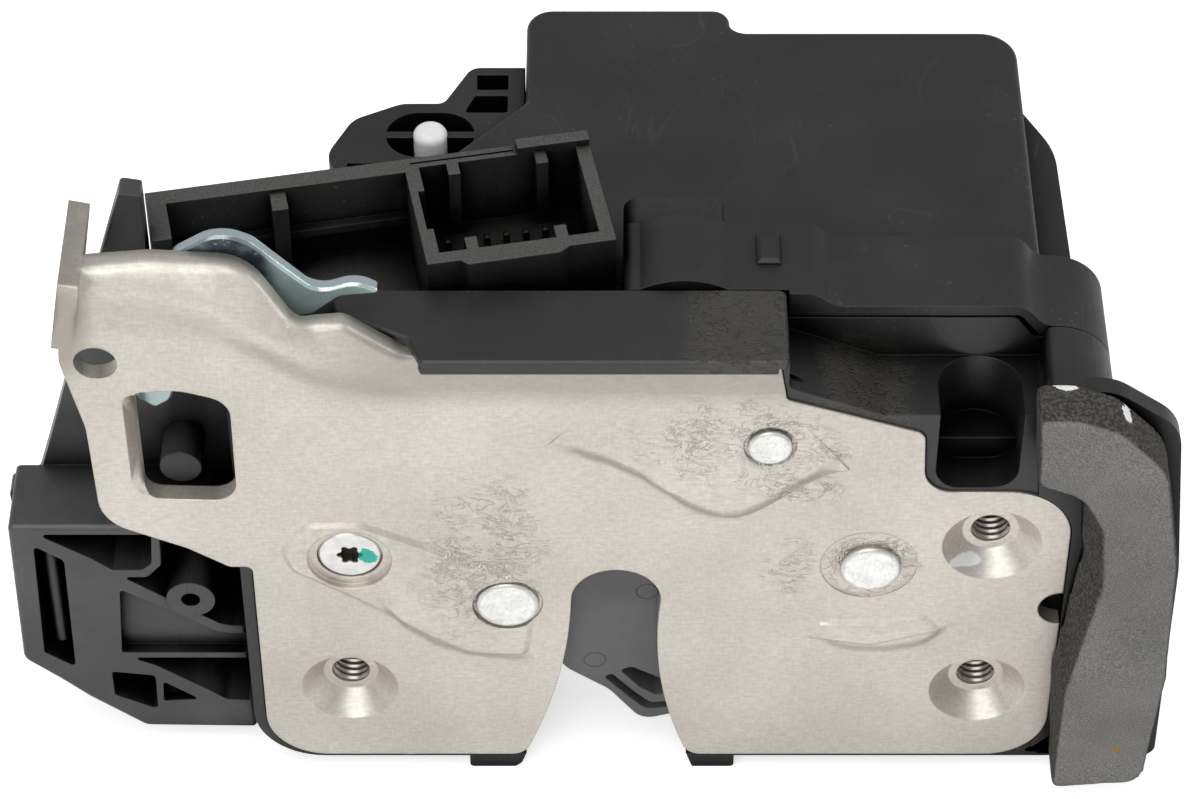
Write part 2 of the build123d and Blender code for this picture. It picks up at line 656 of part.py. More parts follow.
# ---- release lever and its shoulder pin ------------------------------------------------
with BuildPart() as release_lever:
    with BuildSketch(front(lever_y)):
        with BuildLine():
            rounded([(-54.7, 52.2, 1.5), (-53.4, 55.4, 2), (-47.6, 59.2, 5), (-43.8, 57.2, 3),
                     (-36.4, 49.2, 3), (-31.4, 51.0, 4), (-28.2, 49.0, 0.4), (-33.6, 48.4, 2),
                     (-37.0, 45.4, 1.5), (-48.6, 43.2, 4), (-53.0, 38.0, 4), (-55.6, 30.4, 1.5),
                     (-57.6, 29.0, 0.8), (-59.8, 30.8, 1.5), (-60.4, 41.0, 6)])
        make_face()
        with Locations((lever_x, lever_z)):
            Circle(lever_pin_r + run_gap, mode=Mode.SUBTRACT)
    extrude(amount=-lever_t)
    chamfer(release_lever.faces().sort_by(Axis.Y)[0].outer_wire().edges(), length=0.3)
release_lever.part.label = "release_lever"
export_step(release_lever.part, "parts/release_lever.step")

with BuildPart() as release_pin:
    with BuildSketch(front(lever_y - 0.1)):
        with Locations((lever_x, lever_z)):
            Circle(4.0)
    extrude(amount=1.1)
    chamfer(release_pin.edges().sort_by(Axis.Y)[0], length=0.3)
    with BuildSketch(front(lever_y - 0.1)):
        with Locations((lever_x, lever_z)):
            Circle(lever_pin_r)
    extrude(amount=-(lever_t + 0.1 + side_gap))
    with BuildSketch(front(lever_y)):
        with Locations((lever_x, lever_z)):
            Circle(lever_pin_r - 0.7)
    extrude(amount=-(ledge_depth - lever_y + 0.8))
release_pin.part.label = "release_pin"
export_step(release_pin.part, "parts/release_pin.step")

motor_x = gear_x + gear_module * (gear_teeth + pinion_teeth) / 2
motor_y = gear_y + gear_t + 1.0

# ---- connector housing with its tray ---------------------------------------------------
plug_foot = block_z + seat_gap


def plug_plane(z):
    """Horizontal plane at height z, turned with the connector."""
    turn = radians(plug_angle)
    return Plane(origin=(plug_x, plug_y, z), x_dir=(cos(turn), sin(turn), 0), z_dir=(0, 0, 1))


def box_between(u0, u1, v0, v1):
    """Rectangle from u0..u1 by v0..v1 in the current sketch."""
    with Locations(((u0 + u1) / 2, (v0 + v1) / 2)):
        Rectangle(u1 - u0, v1 - v0)


tray_front = 4.5
tray_floor = plug_foot + 2.2
pin_spots = [(plug_w / 2 + (i - 3) * pin_pitch, plug_d / 2 + side * pin_pitch * 0.8)
             for side in (-1, 1) for i in range(7)]
with BuildPart() as connector_housing:
    with BuildSketch(plug_plane(plug_foot)):
        box_between(0, plug_w, 0, plug_d)
    extrude(amount=plug_rim_z - plug_foot)
    # stepped bulge of the front wall
    with BuildSketch(plug_plane(plug_foot)):
        with BuildLine():
            FilletPolyline((3.6, 0.6), (5.0, -0.9), (16.4, -0.9), (17.8, 0.0), (17.8, 0.6), radius=0.2, close=True)
        make_face()
    extrude(amount=plug_rim_z - plug_foot)
    # tray wall, end and shelf
    with BuildSketch(plug_plane(plug_foot)):
        box_between(-tray_w, 0.5, plug_d - tray_wall, plug_d)
        box_between(-tray_w, -tray_w + tray_wall, tray_front + 6, plug_d)
    extrude(amount=plug_rim_z - plug_foot)
    with BuildSketch(plug_plane(plug_foot)):
        box_between(-tray_w, 0.5, tray_front, plug_d)
    extrude(amount=tray_floor - plug_foot)
    with BuildSketch(plug_plane(tray_floor)):
        box_between(-17.2, -15.2, plug_d - tray_wall - 3.2, plug_d)
    extrude(amount=plug_rim_z - tray_floor - 0.6)
    with BuildSketch(plug_plane(tray_floor + 4.4)):
        box_between(-tray_w, 0.5, plug_d - tray_wall - 1.2, plug_d)
    extrude(amount=1.2)
    # raised step at the rear right corner
    with BuildSketch(plug_plane(plug_rim_z)):
        box_between(plug_w - 9.2, plug_w, plug_d - plug_wall, plug_d)
    extrude(amount=1.0)
    # keyed mouth
    with BuildSketch(plug_plane(plug_floor_z)) as mouth:
        box_between(plug_wall, plug_w - plug_wall, plug_wall, plug_d - plug_wall)
        with Locations((plug_wall, plug_d / 2)):
            Rectangle(1.6, 7.0)
        for u in (6.0, plug_w - 6.4):
            for v in (plug_wall, plug_d - plug_wall):
                with Locations((u, v)):
                    Rectangle(1.5, 4.2, mode=Mode.SUBTRACT)
    extrude(amount=plug_rim_z - plug_floor_z + 2, mode=Mode.SUBTRACT)
    # seam along the rear wall
    with BuildSketch(plug_plane(plug_rim_z - 0.4)):
        box_between(0.8, plug_w - 9.6, plug_d - 1.1, plug_d - 0.8)
    extrude(amount=1, mode=Mode.SUBTRACT)
    # seats of the terminals
    with BuildSketch(plug_plane(plug_foot + 1)):
        with Locations(*pin_spots):
            Rectangle(pin_w, pin_w)
    extrude(amount=plug_rim_z, mode=Mode.SUBTRACT)
connector_housing.part.label = "connector_housing"
export_step(connector_housing.part, "parts/connector_housing.step")

with BuildPart() as terminals:
    with BuildSketch(plug_plane(plug_foot + 1)):
        with Locations(*pin_spots):
            Rectangle(pin_w, pin_w)
    extrude(amount=pin_top - plug_foot - 1)
    chamfer(terminals.faces().group_by(Axis.Z)[-1].edges(), length=0.2)
terminals.part.label = "terminals"
export_step(terminals.part, "parts/terminals.step")

# ---- actuator housing: collar, bulkhead, lower case and bracket ------------------------
shell_front = pin_length + 1.4         # clear of the peened rivet ends
shell_floor = collar_back - 2.0
collar_front = ledge_depth + seat_gap
case_floor = block_foot + wall
collar_corners = [
    (collar_left, ledge_z + seat_gap, 0.2), (collar_left, band_left_z, 1.2), (24.4, band_left_z, 3.6),
    (27.0, band_z, 3.6), (50.4, band_z, 3.6), (shoulder_x, shoulder_z, 3.0),
    (tower_x, shoulder_z, tower_r), (tower_x, 26.5, 0.5),
]
front_corners = [(case_left, block_foot, 1), (case_right, block_foot, 3), (case_right, 25.0, 1),
                 (tower_x, 26.4, 0.8)] + collar_corners[-2:0:-1] + [
    (collar_left, ledge_z - 0.2, 0.5), (case_left, ledge_z - 0.2, 0.5)]
cover_corners = [
    (case_left, collar_back + 0.1, 0.8), (block_right, collar_back + 0.1, 0.8), (block_right, 73.0, 5),
    (block_step_x, 73.0, 2.3), (block_step_x, block_back, 2.3), (block_left, block_back, 3.5),
    (block_left, 58.7, 2), (case_left, 39.2, 2),
]
case_corners = [(case_left, shell_floor, 0.5), (case_right, shell_floor, 2), (60.2, 40.0, 14),
                (59.8, 62.0, 14)] + [(block_right, 73.0, 4)] + cover_corners[3:]
bracket_corners = [
    (case_left + 1, 41.5, 1), (-35.2, 44.2, 3), (-38.4, 49.6, 4), (-35.0, 57.0, 4), (-28.6, 60.2, 4),
    (-23.0, 60.2, 1.5), (-19.4, 67.5, 2), (block_left + 1, 67.5, 0.5), (block_left + 1, 57.0, 0.5),
]

with BuildPart() as actuator_housing:
    # bulkhead and collar wall
    with BuildSketch(front(shell_front)):
        with BuildLine():
            rounded(front_corners)
        make_face()
    extrude(amount=-(collar_back - shell_front))
    with BuildSketch(front(collar_front)):
        with BuildLine():
            rounded(collar_corners)
        make_face()
    extrude(amount=-(collar_back - collar_front))
    # domed bump, nub and the strip behind them
    with BuildSketch(front(collar_front)):
        with BuildLine():
            dome = ThreePointArc((2.9, band_left_z), (8.25, band_left_z + 1.5), (13.6, band_left_z))
            Line(dome @ 1, dome @ 0)
        make_face()
    extrude(amount=-(collar_back - collar_front))
    with BuildSketch(Plane.XY.offset(band_left_z - 1)):
        box_between(17.4, 20.3, 16.0, 21.2)
    extrude(amount=1.8)
    chamfer(actuator_housing.faces().filter_by(Axis.Z).sort_by(Axis.Z)[-1].edges(), length=0.5)
    with BuildSketch(front(collar_back - 1)):
        with BuildLine():
            rounded([(collar_left, block_z + seat_gap, 0.5), (collar_left, band_left_z - 0.6, 2),
                     (13.6, band_left_z - 0.6, 2), (13.6, block_z + seat_gap, 0.5)])
        make_face()
    extrude(amount=-6.3)
    # lower case with its bulged right flank
    with BuildSketch(Plane.XY.offset(block_foot)):
        with BuildLine():
            rounded(case_corners)
        make_face()
    extrude(amount=seam_z - block_foot)
    # bracket on the left flank
    with BuildSketch(Plane.XY.offset(seam_z - 6)):
        with BuildLine():
            rounded(bracket_corners)
        make_face()
    extrude(amount=block_z - 2 - seam_z + 6)
    with BuildSketch(Plane.XY.offset(seam_z)):
        with BuildLine():
            rounded(cover_corners)
        make_face()
        offset(amount=seat_gap, kind=Kind.INTERSECTION)
    extrude(amount=block_z + 1 - seam_z, mode=Mode.SUBTRACT)
    with BuildSketch(Plane.XY.offset(seam_z - 4)):
        with Locations((guide_x, guide_y)):
            SlotCenterToCenter(3.0, 2 * guide_r + 4.2)
            Rectangle(20, 1.2, mode=Mode.SUBTRACT)
        box_between(-35.4, -30.8, 44.8, 48.4)
        box_between(-29.6, -22.0, 44.8, 48.4)
        box_between(-18.6, -14.4, 63.0, 66.0)
        with BuildLine():
            rounded([(-20.2, 58.4, 0.4), (-18.8, 61.8, 0.4), (-14.4, 61.8, 0.4), (-14.4, 58.4, 0.4)])
        make_face()
    extrude(amount=block_z, mode=Mode.SUBTRACT)
    with BuildSketch(Plane.XY.offset(seam_z - 7)):
        with Locations((guide_x, guide_y)):
            Circle(guide_r)
    extrude(amount=block_z, mode=Mode.SUBTRACT)
    # inside of the collar and the bulkhead, open to the front
    with BuildSketch(front(collar_front - 1)):
        with BuildLine():
            rounded([(collar_left + wall, ledge_z - 2, 0.5), (collar_left + wall, band_z - band_wall, 0.8),
                     (50.0, band_z - band_wall, 1), (shoulder_x - 0.4, shoulder_z - band_wall, 1),
                     (tower_x - band_wall, shoulder_z - band_wall, tower_r - band_wall),
                     (tower_x - band_wall, 24.0, 0.5)])
        make_face()
    extrude(amount=-(shell_floor - collar_front + 1), mode=Mode.SUBTRACT)
    with BuildSketch(front(shell_front - 1)):
        box_between(case_left + wall, case_right - wall, block_foot + wall, ledge_z - 0.2 - wall)
    extrude(amount=-(shell_floor - shell_front + 1), mode=Mode.SUBTRACT)
    # shield stands in front of the left half of the collar
    with BuildSketch(front(collar_front - 1)):
        box_between(collar_left - 1, shield_right + 0.4, band_z - 2, band_left_z + 3)
    extrude(amount=-(shield_back + seat_gap - collar_front + 1), mode=Mode.SUBTRACT)
    # inside of the lower case
    with BuildSketch(Plane.XY.offset(case_floor)):
        with BuildLine():
            rounded(cover_corners)
        make_face()
        offset(amount=-wall, kind=Kind.INTERSECTION, mode=Mode.REPLACE)
        for x, y in case_spots:
            with Locations((x, y)):
                Circle(screw_r + 2.0, mode=Mode.SUBTRACT)
    extrude(amount=seam_z, mode=Mode.SUBTRACT)
    with BuildSketch(Plane.XY.offset(case_floor)):
        with BuildLine():
            rounded([(block_right - wall - 1, 33.0, 1), (case_right - 0.4, 40.0, 3), (case_right - 0.6, 61.0, 3),
                     (block_right - wall - 1, 65.0, 1)])
        make_face()
    extrude(amount=seam_z - wall - case_floor, mode=Mode.SUBTRACT)
    # cradle of the motor and pillar of the gear pin
    for y in (gear_y + 10, gear_y + 26):
        with BuildSketch(front(y)):
            box_between(motor_x - motor_r - 0.3, motor_x + motor_r + 0.3, case_floor - 0.5, gear_z - 3)
            with Locations((motor_x, gear_z)):
                Circle(motor_r + run_gap, mode=Mode.SUBTRACT)
        extrude(amount=-2.2)
    with BuildSketch(front(gear_y + 9.6)):
        box_between(gear_x - 3.4, gear_x + 3.4, case_floor - 0.5, gear_z + 3.4)
    extrude(amount=-2.6)
    with BuildSketch(front(shell_floor + 1)):
        with Locations((gear_x, gear_z)):
            Circle(gear_pin_r)
    extrude(amount=-30, mode=Mode.SUBTRACT)
    # screw holes with sunk heads in the underside
    with BuildSketch(Plane.XY.offset(block_foot)):
        with Locations(*case_spots):
            Circle(screw_r + run_gap)
    extrude(amount=seam_z, mode=Mode.SUBTRACT)
    with BuildSketch(Plane.XY.offset(block_foot)):
        with Locations(*case_spots):
            Circle(screw_head_r + seat_gap)
    extrude(amount=screw_head_t, mode=Mode.SUBTRACT)
actuator_housing.part.label = "actuator_housing"
export_step(actuator_housing.part, "parts/actuator_housing.step")

with BuildPart() as case_screws:
    for x, y in case_spots:
        with BuildSketch(Plane.XY.offset(block_foot)):
            with Locations((x, y)):
                Circle(screw_head_r)
        extrude(amount=screw_head_t)
        with BuildSketch(Plane.XY.offset(block_foot + screw_head_t)):
            with Locations((x, y)):
                Circle(screw_r)
        extrude(amount=20)
    with BuildSketch(Plane.XY.offset(block_foot)):
        with Locations(*case_spots):
            RegularPolygon(1.3, 6)
    extrude(amount=1.0, mode=Mode.SUBTRACT)
case_screws.part.label = "case_screws"
export_step(case_screws.part, "parts/case_screws.step")

with BuildPart() as guide_pin:
    with BuildSketch(Plane.XY.offset(seam_z - 7)):
        with Locations((guide_x, guide_y)):
            Circle(guide_r)
    extrude(amount=block_z - 1 - seam_z + 7)
    fillet(guide_pin.edges().group_by(Axis.Z)[-1], radius=1.2)
guide_pin.part.label = "guide_pin"
export_step(guide_pin.part, "parts/guide_pin.step")

# ---- actuator cover --------------------------------------------------------------------
with BuildPart() as actuator_cover:
    with BuildSketch(Plane.XY.offset(seam_z)):
        with BuildLine():
            rounded(cover_corners)
        make_face()
    extrude(amount=block_z - seam_z)
    fillet(actuator_cover.faces().sort_by(Axis.Z)[-1].edges(), radius=1.2)
    with BuildSketch(Plane.XY.offset(seam_z)):
        with BuildLine():
            rounded(cover_corners)
        make_face()
        offset(amount=-wall, kind=Kind.INTERSECTION, mode=Mode.REPLACE)
        for x, y in case_spots:
            with Locations((x, y)):
                Circle(screw_r + 2.0, mode=Mode.SUBTRACT)
    extrude(amount=block_z - wall - seam_z, mode=Mode.SUBTRACT)
    # saddle that holds the motor down
    with BuildSketch(front(gear_y + 18)):
        box_between(motor_x - motor_r, motor_x + motor_r, gear_z + 4, block_z - wall + 0.5)
        with Locations((motor_x, gear_z)):
            Circle(motor_r + seat_gap, mode=Mode.SUBTRACT)
    extrude(amount=-2.2)
    with BuildSketch(Plane.XY.offset(seam_z)):
        with Locations(*case_spots):
            Circle(screw_r + run_gap)
    extrude(amount=block_foot + screw_head_t + 20.4 - seam_z, mode=Mode.SUBTRACT)
actuator_cover.part.label = "actuator_cover"
export_step(actuator_cover.part, "parts/actuator_cover.step")

# ---- motor, pinion, lock gear and lever ------------------------------------------------
def tooth_edges(teeth, index, centre):
    """Flanks, tip and root of one involute tooth, joined to the next one."""
    pitch_r = gear_module * teeth / 2
    base_r = pitch_r * cos(radians(20))
    tip_r = pitch_r + 0.9 * gear_module
    root_r = pitch_r - 1.2 * gear_module

    def flank_angle(r):
        roll = acos(min(1.0, base_r / max(r, base_r)))
        return tan(roll) - roll

    half = pi / (2 * teeth) - gear_backlash / (4 * pitch_r) + flank_angle(pitch_r)

    def spot(r, side):
        turn = centre + side * (half - flank_angle(r))
        return (r * cos(turn), r * sin(turn))

    low_r = max(root_r, base_r)
    middle_r = (low_r + tip_r) / 2
    rise = ThreePointArc(spot(low_r, -1), spot(middle_r, -1), spot(tip_r, -1))
    cap = ThreePointArc(rise @ 1, (tip_r * cos(centre), tip_r * sin(centre)), spot(tip_r, 1))
    fall = ThreePointArc(cap @ 1, spot(middle_r, 1), spot(low_r, 1))
    foot_half = half - flank_angle(low_r)
    near = centre + foot_half
    far = centre + 2 * pi / teeth - foot_half
    foot_start = (root_r * cos(near), root_r * sin(near))
    foot_end = (root_r * cos(far), root_r * sin(far))
    foot_mid = (root_r * cos((near + far) / 2), root_r * sin((near + far) / 2))
    if low_r > root_r + 0.01:
        Line(fall @ 1, foot_start)
        valley = ThreePointArc(foot_start, foot_mid, foot_end)
        Line(valley @ 1, (low_r * cos(far), low_r * sin(far)))
    else:
        ThreePointArc(fall @ 1, foot_mid, foot_end)


def gear_plane(x, y):
    return Plane(origin=(x, y, gear_z), x_dir=(1, 0, 0), z_dir=(0, -1, 0))


with BuildPart() as lock_gear:
    with BuildSketch(gear_plane(gear_x, gear_y)):
        with BuildLine():
            for i in range(gear_teeth):
                tooth_edges(gear_teeth, i, 2 * pi * i / gear_teeth)
        make_face()
        Circle(gear_pin_r + run_gap, mode=Mode.SUBTRACT)
    extrude(amount=-gear_t)
    # dished web
    with BuildSketch(gear_plane(gear_x, gear_y)):
        Circle(gear_module * gear_teeth / 2 - 2.2)
        Circle(gear_pin_r + 2.0, mode=Mode.SUBTRACT)
    extrude(amount=-1.2, mode=Mode.SUBTRACT)
lock_gear.part.label = "lock_gear"
export_step(lock_gear.part, "parts/lock_gear.step")

with BuildPart() as motor_pinion:
    with BuildSketch(gear_plane(motor_x, gear_y - 0.2)):
        with BuildLine():
            for i in range(pinion_teeth):
                tooth_edges(pinion_teeth, i, 2 * pi * (i + 0.5) / pinion_teeth)
        make_face()
    extrude(amount=-(gear_t + 0.4))
    with BuildSketch(gear_plane(motor_x, gear_y)):
        Circle(1.0)
    extrude(amount=-9)
motor_pinion.part.label = "motor_pinion"
export_step(motor_pinion.part, "parts/motor_pinion.step")

with BuildPart() as motor:
    with BuildSketch(gear_plane(motor_x, motor_y)):
        Circle(motor_r)
    extrude(amount=-motor_len)
    chamfer(motor.edges().group_by(Axis.Y)[0], length=0.8)
    with BuildSketch(gear_plane(motor_x, motor_y)):
        Circle(3.0)
    extrude(amount=0.5)
    with BuildSketch(gear_plane(motor_x, motor_y + motor_len)):
        Circle(motor_r - 1.6)
        with Locations((0, 4.6)):
            Rectangle(12, 3.2, mode=Mode.SUBTRACT)
    extrude(amount=-1.4)
    with BuildSketch(gear_plane(motor_x, motor_y - 0.5)):
        Circle(1.0 + run_gap)
    extrude(amount=-4, mode=Mode.SUBTRACT)
motor.part.label = "motor"
export_step(motor.part, "parts/motor.step")

lever_foot = gear_y + gear_t
with BuildPart() as lock_lever:
    with BuildSketch(gear_plane(gear_x, lever_foot)):
        Circle(3.5)
        with BuildLine():
            rounded([(0, -3.2, 0.5), (0, 3.2, 0.5), (-lever_arm, 2.0, 1.8), (-lever_arm, -2.0, 1.8)])
        make_face()
        Circle(gear_pin_r + run_gap, mode=Mode.SUBTRACT)
        with Locations((-lever_arm + 3.4, 0)):
            SlotOverall(4.4, 1.8, mode=Mode.SUBTRACT)
    extrude(amount=-3)
lock_lever.part.label = "lock_lever"
export_step(lock_lever.part, "parts/lock_lever.step")

with BuildPart() as gear_pin:
    with BuildSketch(gear_plane(gear_x, shell_floor + 1)):
        Circle(gear_pin_r)
    extrude(amount=-(gear_y + 12.2 - shell_floor - 1))
    chamfer(gear_pin.edges().group_by(Axis.Y)[-1], length=0.3)
gear_pin.part.label = "gear_pin"
export_step(gear_pin.part, "parts/gear_pin.step")

# ---- flank housing ---------------------------------------------------------------------
flank_right = rim_left - 0.5
frame_back = housing_back
pocket_depth = 8.0
boss_x, boss_z, boss_r = -55.6, -5.2, 3.2
with BuildPart() as flank_housing:
    with BuildSketch(front(flank_front)):
        with BuildLine():
            rounded([(flank_left, flank_top, 0.8), (flank_left - 0.6, -17.8, 2), (-74.4, -21.9, 1.5),
                     (-70.7, -25.7, 1), (-63.6, -31.7, 2), (flank_right, flank_foot, 0.5),
                     (flank_right, 3.0, 1), (-52.4, flank_top, 1)])
        make_face()
    extrude(amount=-flank_depth)
    fillet(flank_housing.faces().sort_by(Axis.Z)[-1].edges().sort_by(Axis.Y)[0], radius=0.7)
    # rear wall rising behind the wing of the plate
    with BuildSketch(front(frame_back)):
        with BuildLine():
            rounded([(flank_left, flank_foot, 1), (flank_left - 1.4, 3.4, 1), (-75.6, 5.3, 1), (-73.6, 12.0, 3),
                     (-69.6, 26.0, 4), (-60.6, 56.5, 0.6), (-58.0, 56.0, 0.4), (-58.0, block_z + 3.0, 0.6),
                     (-59.2, block_z - 0.4, 0.6), (flank_right, block_z - 0.4, 0.6), (flank_right, flank_foot, 1)])
        make_face()
    extrude(amount=-flank_wall)
    # slot window, upper recess, boss pocket, lower pocket and square hole
    with BuildSketch(front(flank_front - 1)):
        with BuildLine():
            rounded([(-75.2, 4.8, 0.4), (-75.9, -16.2, 0.4), (-72.0, -19.2, 0.4), (-71.5, 2.0, 1.2)])
        make_face()
        with BuildLine():
            rounded([(-74.6, 7.0, 0.4), (-68.1, 2.5, 0.5), (-65.3, 0.1, 0.5), (-61.6, 0.1, 1.2), (-60.2, 1.4, 1.2),
                     (-59.8, 7.0, 0.4)])
        make_face()
        with BuildLine():
            rounded([(-64.2, -1.2, 0.3), (-58.8, -5.4, 0.5), (-52.2, -10.4, 2), (-50.4, -10.9, 1), (-48.7, -10.9, 0.4),
                     (-48.7, 2.0, 0.4), (-52.6, 6.8, 1), (-58.8, 6.8, 0.4), (-59.0, 1.2, 1), (-61.0, -1.2, 1)])
        make_face()
        with BuildLine():
            rounded([(-64.6, -17.3, 0.3), (-61.3, -18.9, 1), (-54.9, -23.8, 2), (-52.2, -26.0, 1.5), (-48.9, -26.2, 0.5),
                     (-48.7, -17.3, 0.4)])
        make_face()
        with BuildLine():
            rounded([(-67.3, -20.2, 0.4), (-61.5, -21.0, 0.8), (-61.7, -28.0, 0.5), (-67.3, -25.0, 0.5)])
        make_face()
    extrude(amount=-(pocket_depth + 1), mode=Mode.SUBTRACT)
    # shallow panel between the diagonal ribs and the small recess beside the hole
    with BuildSketch(front(flank_front - 1)):
        with BuildLine():
            rounded([(-64.8, -3.6, 0.4), (-56.8, -8.9, 1), (-52.6, -12.0, 2), (-50.6, -12.3, 1), (-48.9, -12.3, 0.4),
                     (-48.9, -16.3, 0.4), (-65.6, -16.3, 0.4)])
        make_face()
        with BuildLine():
            rounded([(-60.6, -22.2, 0.3), (-55.9, -25.9, 0.3), (-60.8, -26.3, 0.3)])
        make_face()
    extrude(amount=-2.6, mode=Mode.SUBTRACT)
    # rounded bar in the slot window
    with BuildSketch(Plane.XY.offset(-15.6)):
        with Locations((-73.6, flank_front + 2.6)):
            Circle(1.1)
        box_between(-74.7, -72.5, flank_front + 2.6, flank_front + pocket_depth + 0.5)
    extrude(amount=21)
    # screw boss in its pocket
    with BuildSketch(front(flank_front - 0.4)):
        with Locations((boss_x, boss_z)):
            Circle(boss_r)
    extrude(amount=-(pocket_depth + 1))
    with BuildSketch(front(flank_front - 1)):
        with Locations((boss_x, boss_z)):
            Circle(1.25)
    extrude(amount=-7, mode=Mode.SUBTRACT)
    # boss seen through the wing window
    with BuildSketch(front(frame_back)):
        with Locations((-55.8, 14.4)):
            Circle(2.7)
    extrude(amount=6)
flank_housing.part.label = "flank_housing"
export_step(flank_housing.part, "parts/flank_housing.step")

# ---- foam seal -------------------------------------------------------------------------
with BuildPart() as foam_seal:
    with BuildSketch(front(seal_front)):
        with BuildLine():
            rounded([(51.5, 28.4, 1.5), (50.8, 40.6, 1.2), (56.1, 40.4, 5), (61.4, 38.2, 5), (67.8, 31.0, 8),
                     (70.6, 14.0, 10), (71.4, -8.0, 10), (70.2, -29.6, 3), (58.0, -30.6, 1), (57.9, -11.7, 4),
                     (61.2, 10.0, 6), (60.4, 20.0, 4), (57.4, 26.0, 4)])
        make_face()
    extrude(amount=-seal_t)
foam_seal.part.label = "foam_seal"
export_step(foam_seal.part, "parts/foam_seal.step")
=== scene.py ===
import bpy, bmesh, math
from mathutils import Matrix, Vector, noise


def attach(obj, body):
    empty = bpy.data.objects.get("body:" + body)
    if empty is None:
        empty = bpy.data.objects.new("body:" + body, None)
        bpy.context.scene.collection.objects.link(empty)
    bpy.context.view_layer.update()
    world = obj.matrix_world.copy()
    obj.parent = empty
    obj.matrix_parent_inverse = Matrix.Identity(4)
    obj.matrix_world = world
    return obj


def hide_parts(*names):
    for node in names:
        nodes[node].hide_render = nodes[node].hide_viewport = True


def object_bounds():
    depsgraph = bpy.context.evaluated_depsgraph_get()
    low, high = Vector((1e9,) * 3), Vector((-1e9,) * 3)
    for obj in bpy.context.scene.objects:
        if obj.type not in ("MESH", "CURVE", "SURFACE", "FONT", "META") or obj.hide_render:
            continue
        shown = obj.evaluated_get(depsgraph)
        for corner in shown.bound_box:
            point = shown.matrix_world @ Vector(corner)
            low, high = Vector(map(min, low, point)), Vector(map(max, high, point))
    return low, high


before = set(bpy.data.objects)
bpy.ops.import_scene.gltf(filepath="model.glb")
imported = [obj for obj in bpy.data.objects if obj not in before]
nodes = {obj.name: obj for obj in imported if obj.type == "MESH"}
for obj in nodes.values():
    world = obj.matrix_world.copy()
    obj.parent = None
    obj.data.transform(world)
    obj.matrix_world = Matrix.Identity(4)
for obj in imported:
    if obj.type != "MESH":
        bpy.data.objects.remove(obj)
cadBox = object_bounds()
mm = 0.001


